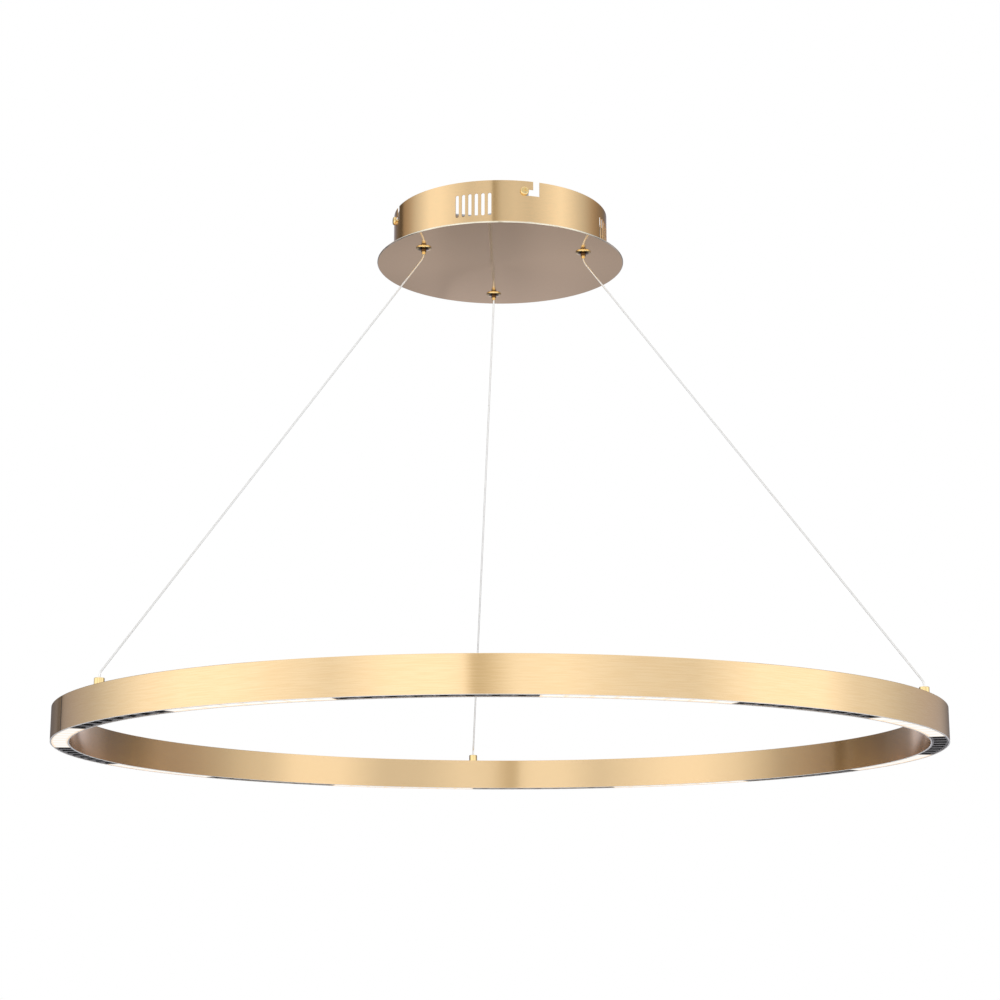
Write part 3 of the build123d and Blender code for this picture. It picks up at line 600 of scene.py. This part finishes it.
def satin_black(name, tone, painted_lip_sheen, cells):
    """Satin black plastic with a fine grain, with a painted grey sheen at the lips of its cells but for a strip of
    painted shade in each.
    """
    paint = Finish(name, Specular_IOR_Level=0.15)
    place = paint.place()
    cloud = paint.noise(place, 200.0)
    pores = paint.noise(place, 3000.0)
    worn = [channel * 2.2 + 0.004 for channel in tone]
    rise = paint.height() - SEGMENT_LOW.z
    # Painted shade: a strip a third of a cell along keeps the black, standing in for shadow in each cell.
    from_painted_shade = (in_cells(paint, cells).maths("FRACT") - 0.33).maths("ABSOLUTE")
    hollow = paint.step(from_painted_shade, 0.20, 0.12) * paint.step(rise, 0.00003, 0.00008)
    # Painted sheen: the lowest millimetre of the louvre turns grey, except in each cell's strip of painted shade.
    grey = paint.step(rise, 0.0009, 0.0005) * (1.0 - hollow)
    paint.set("Base Color", paint.mix(grey, paint.mix(cloud, rgba(tone), rgba(worn)), rgba(painted_lip_sheen)))
    paint.set("Roughness", pores * 0.10 + cloud * 0.08 + 0.34)
    paint.set("Normal", paint.bump(pores, 0.05, 0.0001))
    return paint.material


def sheathed_steel(name, tone):
    """Steel strands seen through a clear sheath."""
    paint = Finish(name, Metallic=0.85, Coat_Weight=1.0, Coat_Roughness=0.08)
    place = paint.place()
    cloud = paint.noise(place, 400.0)
    paint.set("Base Color", paint.mix(cloud, rgba([channel * 0.9 for channel in tone]), rgba(tone)))
    paint.set("Roughness", cloud * 0.15 + 0.22)
    return paint.material


def earth_sheath(name):
    """A green and yellow sheath, and the tinned lug on its end."""
    green, yellow, tin = (0.10, 0.34, 0.07, 1.0), (0.80, 0.68, 0.06, 1.0), (0.66, 0.66, 0.65, 1.0)
    paint = Finish(name)
    place = paint.place()
    east, north, height = paint.parts(place)
    stripe = paint.step((north * 900.0 + height * 900.0).maths("PINGPONG", 1.0), 0.45, 0.55)
    lug = paint.step(east, 0.0016, 0.0019)
    pores = paint.noise(place, 1500.0)
    paint.set("Base Color", paint.mix(lug, paint.mix(stripe, green, yellow), tin))
    paint.set("Metallic", lug)
    paint.set("Roughness", pores * 0.15 + 0.3)
    return paint.material


def circuit(name):
    """A green board with dark parts and a wound yellow transformer."""
    mask, trace = (0.03, 0.17, 0.07, 1.0), (0.05, 0.26, 0.11, 1.0)
    dark, yellow = (0.03, 0.03, 0.035, 1.0), (0.72, 0.52, 0.07, 1.0)
    paint = Finish(name, Roughness=0.45)
    place = paint.place()
    east, _, height = paint.parts(place)
    above = paint.step(height, -0.0396, -0.0391)
    transformer = paint.step((east + 0.006).maths("ABSOLUTE"), 0.013, 0.012)
    traces = paint.step(paint.noise(place, 700.0, 1.0), 0.48, 0.54)
    board, parts = paint.mix(traces, mask, trace), paint.mix(transformer, dark, yellow)
    paint.set("Base Color", paint.mix(above, board, parts))
    return paint.material


def make_finishes(finishes, ring):
    """The material of each of the record's slots, named after its slot."""
    cells = 2 * ring.pairs * ring.cells
    brown, blue, blue_from = (0.20, 0.09, 0.04), (0.04, 0.12, 0.42), (0, -0.0351, -0.0349)
    black, red, red_from = (0.03, 0.03, 0.03), (0.52, 0.03, 0.03), (1, 0.0345, 0.0355)
    table = {
        "ring_gold": (ring_gold, finishes),
        "canopy_gold": (canopy_gold, finishes),
        "polished_gold": (turned_metal, finishes.bright_gold, 0.12, 0.05, finishes.shaded_gold),
        "zinc_steel": (turned_metal, finishes.steel, 0.36, 0.10),
        "spring_steel": (turned_metal, (0.50, 0.50, 0.51), 0.30),
        "bare_aluminium": (turned_metal, (0.76, 0.77, 0.78), 0.40, 0.06),
        "steel_cable": (sheathed_steel, finishes.cable),
        "opal_lit": (opal, finishes, cells),
        "black_louvre": (satin_black, finishes.black, finishes.painted_lip_sheen, cells),
        "led_board_white": (moulded, (0.84, 0.84, 0.82), 0.40),
        "led_yellow": (moulded, (0.92, 0.80, 0.38), 0.35),
        "driver_white": (moulded, (0.82, 0.82, 0.80), 0.45, 0.14),
        "circuit_board": (circuit,),
        "nylon": (moulded, (0.80, 0.78, 0.70), 0.42),
        "lead_brown": (moulded, brown, 0.40, 0.05, blue, blue_from),
        "lead_red": (moulded, black, 0.40, 0.05, red, red_from),
        "lead_green": (earth_sheath,),
    }
    for slot, (make, *values) in table.items():
        make("finish_" + slot, *values)


# Pieces


def cable_route(number):
    """The points that a suspension cable is led by, from its gripper to its ferrule."""
    turn = math.radians(CABLE_ANGLES[number])
    top, foot = Vector((GRIPPER_RADIUS, CABLE_TOP)), Vector((FERRULE_RADIUS, CABLE_FOOT))
    bend, rise = top + Vector((0.0022, -0.0057)), foot + Vector((0.0, 0.004))
    points = [top, top - Vector((0.0, 0.0012)), bend, bend + Vector((0.0030, -0.0040)),
              rise + Vector((-0.0024, 0.0032)), rise, foot]
    return [Vector((point.x * math.cos(turn), point.x * math.sin(turn), point.y)) for point in points]


def smooth_line(name, points):
    """A smooth open curve led by its points."""
    line = bpy.data.curves.new(name, "CURVE")
    line.dimensions = "3D"
    line.resolution_u = 40
    spline = line.splines.new("NURBS")
    spline.points.add(len(points) - 1)
    for point, place in zip(spline.points, points):
        point.co = (*place, 1.0)
    spline.order_u = 3
    spline.use_endpoint_u = True
    curve = bpy.data.objects.new(name, line)
    bpy.context.collection.objects.link(curve)
    return curve


class LAMP_OT_finishes(bpy.types.Operator):
    """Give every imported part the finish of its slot"""
    bl_idname = "lamp.finishes"
    bl_label = "Finishes"

    def execute(self, context):
        make_finishes(context.scene.lamp_finishes, context.scene.lamp_ring)
        for node, piece in frame["nodes"].items():
            coated(piece, node)
        return {"FINISHED"}


class LAMP_OT_cables(bpy.types.Operator):
    """Twist the strands of each suspension cable and lead them from gripper to ferrule"""
    bl_idname = "lamp.cables"
    bl_label = "Suspension cables"

    def execute(self, context):
        for number in CABLE_ANGLES:
            self.cable(context.scene.lamp_cable, number)
        return {"FINISHED"}

    def cable(self, sizes, number):
        """One cable: a rope bent along its route."""
        node = f"suspension_cable_{number}"
        route = cable_route(number)
        line = smooth_line(f"cable_line_{number}", route)
        path = [vertex.co.copy() for vertex in bpy.data.meshes.new_from_object(line).vertices]
        total = sum((after - before).length for before, after in zip(path, path[1:]))
        rope = self.rope(f"cable_rope_{number}", sizes, total)
        modified(rope, "CURVE", object=line, deform_axis="POS_Z")
        smooth(capped(rope), 60.0)
        bpy.data.objects.remove(line)
        shown(rope, "canopy", node)
        reach = route[0].z - route[-1].z
        (reach - travel("ring_height")) / reach
        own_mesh(rope)

    def rope(self, name, sizes, total):
        """A straight rope of twisted strands, standing on the ceiling's plane."""
        dips = (sizes.valley, 0.2 * sizes.valley, 0.0, 0.2 * sizes.valley)
        steps = len(dips) * sizes.strands
        corners = []
        for step in range(steps):
            turn = 2 * math.pi * step / steps
            out = sizes.diameter / 2 - dips[step % len(dips)]
            corners.append((out * math.cos(turn), out * math.sin(turn), 0.0))
        return wound(name, corners, total / sizes.lay, total, 10)


class LAMP_OT_ring_channel(bpy.types.Operator):
    """Spin the ring's channel from its seam and drill its roof"""
    bl_idname = "lamp.ring_channel"
    bl_label = "Ring channel"

    def execute(self, context):
        sizes = context.scene.lamp_ring
        gap = sizes.seam_gap / sizes.radius
        ring = spun("ring_channel", self.profile(sizes), sizes.steps, sizes.seam + gap / 2, 2 * math.pi - gap)
        cut(ring, self.holes(sizes))
        smooth(ring)
        shown(ring, "ring", "ring_housing")
        return {"FINISHED"}

    def profile(self, sizes):
        """The channel's section: open below, with a groove and a ledge inside each wall."""
        outer, inner = sizes.radius, sizes.radius - sizes.width
        low, high, edge = RING_LOW.z, RING_HIGH.z, sizes.edge
        shell = [(inner, low + edge), (inner, high - edge), (inner + edge, high), (outer - edge, high),
                 (outer, high - edge), (outer, low + edge), (outer - edge, low)]
        groove = (SEGMENT_LOW.z + SEGMENT_HIGH.z) / 2
        ledge, ledge_depth = SEGMENT_HIGH.z + 0.0016, 0.0010
        ledge_top = ledge + 0.0012
        rise = [(0.0, low), *ridge(groove, 0.0010, 0.00065, -0.00035), (0.0, ledge), (ledge_depth, ledge),
                (ledge_depth, ledge_top), (0.0, ledge_top), (0.0, high - sizes.roof)]
        outside = [(outer - sizes.wall - depth, height) for depth, height in rise]
        inside = [(inner + sizes.wall + depth, height) for depth, height in rise]
        return shell + outside + inside[::-1] + [(inner + edge, low)]

    def holes(self, sizes):
        """Holes in the roof for the ferrules' studs and the splice's countersunk screws."""
        middle, low, high = sizes.radius - sizes.width / 2, RING_HIGH.z - 0.004, RING_HIGH.z
        shank, head, sink = 0.00155, 0.00285, 0.00155
        cutters = cable_holes(0.00265, 32, middle, low, 0.006)
        for degrees in (-1.75, -0.75, 0.75, 1.75):
            profile = [(0.0, low), (shank, low), (shank, high - sink), (head, high + 0.0001),
                       (head, high + 0.001), (0.0, high + 0.001)]
            hole = spun("countersink", profile, 32)
            hole.data.transform(Matrix.Translation((middle, 0, 0)))
            cutters.append(turned(hole, sizes.seam + math.radians(degrees)))
        return joined("holes", cutters)


def ridge(middle, foot, crest, depth):
    """The corners of a ridge on a wall: half its foot, half its crest and its depth, below 0 for a groove."""
    return [(0.0, middle - foot), (depth, middle - crest), (depth, middle + crest), (0.0, middle + foot)]


def oblong(middle, half_width, half_length, height):
    """The corners of a level oblong that lies across the ring."""
    return [(middle + side * half_width, end * half_length, height)
            for side, end in ((-1, -1), (1, -1), (1, 1), (-1, 1))]


def segment(sizes, name, start, hollow=None):
    """A segment's body between the channel's walls, solid or as a trough, with a bead along each side."""
    outer = sizes.radius - sizes.wall - sizes.fit
    inner = sizes.radius - sizes.width + sizes.wall + sizes.fit
    low, high = SEGMENT_LOW.z, SEGMENT_HIGH.z
    rise = [(0.0, low), *ridge((low + high) / 2, 0.0008, 0.0005, 0.0003), (0.0, high)]
    profile = [(outer + depth, height) for depth, height in rise]
    if hollow:
        floor = low + 0.0016
        profile += [(outer - hollow, high), (outer - hollow, floor), (inner + hollow, floor),
                    (inner + hollow, high)]
    profile += [(inner - depth, height) for depth, height in rise[::-1]]
    span = math.pi / sizes.pairs
    gap = 0.0003 / (sizes.radius - sizes.width / 2)
    return spun(name, profile, sizes.steps // (2 * sizes.pairs), start + gap / 2, span - gap)


def set_round(first, node, pairs):
    """Copies of the first segment set round the ring, each in the place of its node."""
    for pair in range(pairs):
        piece = copied(first, f"{first.name}_{pair + 1}", 2 * math.pi * pair / pairs)
        shown(piece, "ring", f"{node}_{pair + 1}")
    bpy.data.objects.remove(first)


class LAMP_OT_lit_segments(bpy.types.Operator):
    """Spin one lit opal segment, groove its face and set its copies round the ring"""
    bl_idname = "lamp.lit_segments"
    bl_label = "Lit segments"

    def execute(self, context):
        sizes = context.scene.lamp_ring
        side, half_line, past, push = 0.0012, 0.00045, 0.001, 0.0014
        first = segment(sizes, "lit_segment", 0.0, side)
        middle = sizes.radius - sizes.width / 2
        reach = sizes.width / 2 - sizes.wall - sizes.fit - side
        cutters = []
        for line in range(1, sizes.cells):
            groove = prism("groove", oblong(middle, reach, half_line, SEGMENT_LOW.z - past), (0, 0, push))
            cutters.append(turned(groove, line * math.pi / sizes.pairs / sizes.cells))
        cut(first, joined("grooves", cutters))
        set_round(smooth(first), "diffuser", sizes.pairs)
        return {"FINISHED"}


class LAMP_OT_louvre_segments(bpy.types.Operator):
    """Spin one black segment, sink its tapered cells and set its copies round the ring"""
    bl_idname = "lamp.louvre_segments"
    bl_label = "Louvre segments"

    def execute(self, context):
        sizes = context.scene.lamp_ring
        span = math.pi / sizes.pairs
        first = segment(sizes, "louvre_segment", span)
        cutters = [turned(self.cell(sizes), span + (number + 0.5) * span / sizes.cells)
                   for number in range(sizes.cells)]
        cut(first, joined("cells", cutters))
        set_round(smooth(first), "louvre", sizes.pairs)
        return {"FINISHED"}

    def cell(self, sizes):
        """The space of one cell, with an eased mouth."""
        middle = sizes.radius - sizes.width / 2
        half_width = sizes.width / 2 - sizes.wall - sizes.fit - sizes.rail
        half_length = math.pi / sizes.pairs / sizes.cells * middle / 2 - sizes.fin / 2
        rise = SEGMENT_HIGH.z - SEGMENT_LOW.z
        narrow = rise * math.tan(sizes.taper)
        ease, past = 0.0002, 0.001
        levels = [(-past, ease), (0.0, ease), (ease, 0.0), (rise, -narrow), (rise + past, -narrow)]
        cell = outline("cell", oblong(middle, half_width + ease, half_length + ease, SEGMENT_LOW.z - past))
        with editing(cell):
            bpy.ops.mesh.edge_face_add()
            for (low, wide), (high, next_wide) in zip(levels, levels[1:]):
                bpy.ops.mesh.extrude_region_move(TRANSFORM_OT_translate={"value": (0, 0, high - low)})
                scale = ((half_width + next_wide) / (half_width + wide),
                         (half_length + next_wide) / (half_length + wide), 1.0)
                bpy.ops.transform.resize(value=scale, center_override=(middle, 0, SEGMENT_LOW.z + high))
            face_outwards()
        return cell


class LAMP_OT_canopy_drum(bpy.types.Operator):
    """Roll the canopy's drum, cut its bayonet slots and vents and weld in its ears"""
    bl_idname = "lamp.canopy_drum"
    bl_label = "Canopy drum"

    def execute(self, context):
        sizes = context.scene.lamp_canopy
        radius, inside, edge = DRUM_HIGH.x, DRUM_HIGH.x - sizes.wall, 0.00015
        low, high = DRUM_LOW.z, DRUM_HIGH.z
        profile = [(inside, low), (radius, low), (radius, high - edge), (radius - edge, high),
                   (inside + edge, high), (inside, high - edge)]
        drum = spun("vented_drum", profile, sizes.steps)
        cutters = []
        for slot in range(sizes.slots):
            turn = 2 * math.pi * slot / sizes.slots
            cutters.append(turned(self.slot(sizes, radius), turn + sizes.slot_angle))
            for vent in range(sizes.vents):
                offset = (vent - (sizes.vents - 1) / 2) * sizes.vent_step
                cutters.append(turned(self.vent(sizes, radius), turn + sizes.vent_angle + offset))
        cut(drum, joined("cutters", cutters))
        ears = [turned(self.ear(inside, sizes.wall), turn) for turn in EAR_ANGLES]
        joined("vented_drum", [drum, *ears])
        smooth(drum)
        shown(drum, "canopy", "canopy_drum")
        return {"FINISHED"}

    def opening(self, name, radius, corners):
        """The cutter of an opening in the drum's wall, from its corners along the wall and up it."""
        inset, through = 0.004, 0.008
        return prism(name, [(radius - inset, along, height) for along, height in corners], (through, 0, 0))

    def slot(self, sizes, radius):
        """A J-shaped opening: a round closed end, a level run and a leg up through the rim."""
        half, leg = sizes.slot_width / 2, radius * math.sin(sizes.slot_turn)
        level, top = DRUM_HIGH.z - sizes.slot_depth, DRUM_HIGH.z + 0.003
        bend = [math.pi / 2 + math.pi * step / 16 for step in range(17)]
        corners = [(half * math.cos(turn), level + half * math.sin(turn)) for turn in bend]
        corners += [(leg + half, level - half), (leg + half, top)]
        corners += [(leg - half, top), (leg - half, level + half)]
        return self.opening("slot", radius, corners)

    def vent(self, sizes, radius):
        """A tall slot with round ends."""
        half, straight = sizes.vent_width / 2, (sizes.vent_length - sizes.vent_width) / 2
        level, steps = DRUM_HIGH.z - sizes.vent_depth, 24
        corners = []
        for step in range(steps):
            turn = 2 * math.pi * (step + 0.5) / steps
            lift = straight if math.sin(turn) > 0 else -straight
            corners.append((half * math.cos(turn), level + lift + half * math.sin(turn)))
        return self.opening("vent", radius, corners)

    def ear(self, inside, wall):
        """A round-ended ear on the plate, under its stud's nut."""
        half, reach = 0.006, 0.0095
        corners = []
        for along, across, height in circle(half, 32, DRUM_LOW.z):
            out = inside + wall / 2 if along > 1e-6 else inside - reach + along
            corners.append((out, across, height))
        return prism("ear", corners, (0, 0, wall))


class LAMP_OT_canopy_plate(bpy.types.Operator):
    """Turn the canopy's plate, drill it for the grippers and weld on its studs"""
    bl_idname = "lamp.canopy_plate"
    bl_label = "Canopy plate"

    def execute(self, context):
        sizes = context.scene.lamp_canopy
        low, rim = PLATE_LOW.z, PLATE_HIGH.x - 0.0001
        plate = prism("spun_plate", circle(PLATE_HIGH.x, sizes.steps, low), (0, 0, sizes.plate_thickness))
        with editing(plate, lambda place: place.xy.length > rim):
            bpy.ops.mesh.select_mode(type="EDGE")
            bpy.ops.mesh.edges_select_sharp(sharpness=math.radians(60))
            bpy.ops.mesh.bevel(offset=sizes.plate_edge, segments=1)
        cut(plate, joined("holes", cable_holes(0.0041, 48, GRIPPER_RADIUS, low - 0.001, 0.004)))
        joined("spun_plate", [plate, *self.studs(low + sizes.plate_thickness)])
        smooth(plate)
        shown(plate, "canopy", "canopy_plate")
        return {"FINISHED"}

    def studs(self, low):
        """The studs under the drum's ears, the driver, the terminal block and the earth lug."""
        radius, ear_circle, edge = 0.0015, 0.0915, 0.0003
        ears = [((ear_circle * math.cos(turn), ear_circle * math.sin(turn)), 0.0044) for turn in EAR_ANGLES]
        driver = [((-0.063, 0.020), 0.0049), ((0.063, 0.020), 0.0049)]
        terminals = [((-0.0515, -0.042), 0.0064), ((-0.0085, -0.042), 0.0064)]
        earth = [((0.012, -0.013), 0.0042)]
        studs = []
        for centre, height in ears + driver + terminals + earth:
            stud = prism("stud", circle(radius, 24, low, centre), (0, 0, height))
            with editing(stud, lambda place: place.z > low + 0.001):
                bpy.ops.mesh.bevel(offset=edge, segments=1)
            studs.append(stud)
        return studs


class LAMP_OT_gripper_springs(bpy.types.Operator):
    """Wind the coil spring inside each cable gripper"""
    bl_idname = "lamp.gripper_springs"
    bl_label = "Gripper springs"

    def execute(self, context):
        wire, turns = 0.00045, 5.5
        for number in CABLE_ANGLES:
            node, joint = f"gripper_spring_{number}", f"plunger_{number}_press"
            low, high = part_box(node)
            rest, middle = high.z - low.z, (low + high) / 2
            coil = (high.x - low.x) / 2 - wire
            corners = [(coil + across, 0.0, low.z + wire + along) for across, along, _ in circle(wire, 12)]
            spring = capped(wound(f"plunger_coil_{number}", corners, turns, rest - 2 * wire, 24))
            spring.data.transform(Matrix.Translation((middle.x, middle.y, 0.0)))
            smooth(spring, 60.0)
            shown(spring, "canopy", node)
            (rest - travel(joint)) / rest
            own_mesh(spring)
        return {"FINISHED"}


class LAMP_OT_studio(bpy.types.Operator):
    """Set the camera, the soft light, the white background and the floor"""
    bl_idname = "lamp.studio"
    bl_label = "Studio"

    def execute(self, context):
        studio = context.scene.lamp_studio
        context.scene.view_settings.view_transform = "Standard"
        self.camera(context.scene, studio)
        self.lamp("key", studio.key_power, (-1.8, -1.6, 0.6), 1.6)
        self.lamp("fill", studio.fill_power, (2.0, -1.2, -0.2), 1.8)
        self.surroundings(context.scene)
        self.screen(studio)
        self.floor(studio)
        return {"FINISHED"}

    def camera(self, scene, studio):
        camera = bpy.data.objects.new("camera", bpy.data.cameras.new("camera"))
        scene.collection.objects.link(camera)
        camera.data.sensor_width = 36.0
        camera.data.lens = studio.camera_lens
        aim = (Matrix.Rotation(-studio.camera_heading, 4, "Z")
               @ Matrix.Rotation(math.pi / 2 + studio.camera_pitch, 4, "X")
               @ Matrix.Rotation(studio.camera_roll, 4, "Z"))
        camera.matrix_world = Matrix.Translation(studio.camera_place) @ aim
        scene.camera = camera

    def lamp(self, name, power, place, size):
        """A square soft lamp, aimed at the middle of the pendant."""
        light = bpy.data.lights.new(name, "AREA")
        light.energy, light.size = power, size
        lamp = bpy.data.objects.new(name, light)
        bpy.context.scene.collection.objects.link(lamp)
        lamp.location = place
        lamp.visible_glossy = False
        aim = Vector((0, 0, -0.35)) - lamp.location
        lamp.rotation_euler = aim.to_track_quat("-Z", "Y").to_euler()

    def surroundings(self, scene):
        """White to the eye and in mirrors, and a soft light all round."""
        scene.world = bpy.data.worlds.new("studio")
        scene.world.use_nodes = True
        scene.world.cycles.sampling_method = "NONE"
        paint = Paint(scene.world.node_tree)
        camera, glossy, transmission = [paint.node("ShaderNodeLightPath", None, None, out=out) for out in (
            "Is Camera Ray", "Is Glossy Ray", "Is Transmission Ray")]
        seen = camera.maths("MAXIMUM", glossy).maths("MAXIMUM", transmission)
        sky = next(node for node in paint.tree.nodes if node.type == "BACKGROUND")
        paint.feed(sky.inputs["Color"], paint.mix(seen, (0.8, 0.8, 0.8, 1.0), (1.0, 1.0, 1.0, 1.0)))

    def screen(self, studio):
        """A round screen that only mirrors see: soft boxes all round it, with darker gaps between them."""
        screen = outline("screen", circle(studio.screen_radius, 128, studio.screen_low))
        with editing(screen):
            rise = studio.screen_high - studio.screen_low
            bpy.ops.mesh.extrude_region_move(TRANSFORM_OT_translate={"value": (0, 0, rise)})
        with editing(screen, lambda place: place.z < studio.screen_low + 0.1):
            bpy.ops.mesh.edge_face_add()
        paint = Finish("soft_boxes", Specular_IOR_Level=0.0, Emission_Strength=1.0,
                       Base_Color=(0.0, 0.0, 0.0, 1.0))
        paint.set("Emission Color", self.glow(paint))
        paint.material.cycles.emission_sampling = "NONE"
        screen.data.materials.append(paint.material)
        for ray in ("camera", "diffuse", "transmission", "shadow"):
            setattr(screen, "visible_" + ray, False)

    def glow(self, paint):
        """The screen's light. Angles are in degrees from the front, heights in metres from the ceiling."""
        east, north, height = paint.parts(paint.place())
        turn = east.maths("ARCTAN2", north * -1.0) * (180 / math.pi) + FRONT
        aside = turn.maths("ABSOLUTE")
        upper = paint.step(height, -0.05, 0.15)
        below = paint.step(height, -0.38, -0.46)
        # A leaning gap in front, a narrow one behind on the left, and brighter boxes at the two ends.
        lean = turn + height * 2.5 + 5.5
        gap = paint.step(lean, -2.5, -0.5) * paint.step(lean, 8.5, -1.5)
        narrow = paint.step(turn, -131.2, -130.4) * paint.step(turn, -125.4, -126.2)
        ends = paint.step(turn, -153.0, -155.0) * 0.25 + paint.step(turn, 163.0, 165.0) * 0.15
        level = paint.between(upper, self.boxes(paint, turn, LOW_BOXES), self.boxes(paint, turn, HIGH_BOXES))
        level = level * (1.0 - gap * 0.46) * (1.0 - narrow * 0.55) * (ends + 1.0)
        # An even level low behind, which the plate mirrors, over a dark foot.
        even = 0.47 - paint.step(aside, 176.5, 179.3) * 0.09 - paint.step(aside, 175.5, 171.5) * 0.06
        level = paint.between(below * paint.step(aside, 154.0, 166.0), level, even)
        foot = paint.step(height, -0.42, -1.0) * paint.step(north, 0.0, 0.5)
        level = level * (1.0 - foot * 0.93)
        # White in front and brown behind, but a cool white at the back and under the ring.
        white = paint.mix(gap, (1.0, 1.0, 1.0, 1.0), (1.0, 0.92, 0.76, 1.0))
        brown = paint.mix(upper, (1.0, 0.89, 0.83, 1.0), (1.0, 0.80, 0.62, 1.0))
        brown = paint.mix(narrow, brown, (1.0, 0.80, 0.58, 1.0))
        cool = below.maths("MAXIMUM", paint.step(aside, 136.0, 160.0))
        behind = paint.mix(cool, brown, (1.0, 1.0, 1.22, 1.0))
        tint = paint.mix(paint.step(aside, 94.0, 124.0), white, behind)
        return paint.vector("MULTIPLY", tint, level)

    def boxes(self, paint, turn, stops):
        """The soft boxes' level at an angle from the front, from stops of (degrees, level)."""
        stops = [(degrees / 360.0 + 0.5, level) for degrees, level in stops]
        return paint.node("ShaderNodeValToRGB", {"stops": stops}, {0: turn * (1 / 360.0) + 0.5})

    def floor(self, studio):
        """A round pale floor with a faint grain, which mirrors don't see."""
        thickness = 0.02
        corners = circle(studio.floor_radius, 96, -studio.floor_drop - thickness)
        floor = prism("floor", corners, (0, 0, thickness))
        paint = Finish("pale_floor", Roughness=0.8)
        grain = paint.noise(paint.place(), 40.0, 3.0)
        paint.set("Base Color", paint.mix(grain, (0.86, 0.86, 0.85, 1.0), (0.90, 0.90, 0.89, 1.0)))
        floor.data.materials.append(paint.material)
        floor.visible_glossy = False


class LAMP_PT_panel(bpy.types.Panel):
    """Lists the lamp's sizes, finishes and building steps"""
    bl_idname = "LAMP_PT_panel"
    bl_label = "Ring Pendant Lamp"
    bl_space_type = "VIEW_3D"
    bl_region_type = "UI"
    bl_category = "Lamp"

    def draw(self, context):
        for group in GROUPS:
            box = self.layout.box()
            values = getattr(context.scene, group)
            for field in values.__annotations__:
                box.prop(values, field)
        for step in STEPS:
            self.layout.operator(step.bl_idname)


GROUPS = {"lamp_ring": RingSizes, "lamp_canopy": CanopySizes, "lamp_cable": CableSizes,
          "lamp_finishes": Finishes, "lamp_studio": Studio}
STEPS = (LAMP_OT_finishes, LAMP_OT_studio, LAMP_OT_cables, LAMP_OT_ring_channel, LAMP_OT_lit_segments,
         LAMP_OT_louvre_segments, LAMP_OT_canopy_drum, LAMP_OT_canopy_plate, LAMP_OT_gripper_springs)
CLASSES = (*GROUPS.values(), *STEPS, LAMP_PT_panel)


def register():
    for item in CLASSES:
        bpy.utils.register_class(item)
    for group, kind in GROUPS.items():
        setattr(bpy.types.Scene, group, bpy.props.PointerProperty(type=kind))


def unregister():
    for group in GROUPS:
        delattr(bpy.types.Scene, group)
    for item in reversed(CLASSES):
        bpy.utils.unregister_class(item)


def main():
    """Build the lamp step by step."""
    register()
    for step in STEPS:
        getattr(bpy.ops.lamp, step.bl_idname.removeprefix("lamp."))()


if __name__ == "__main__":
    main()
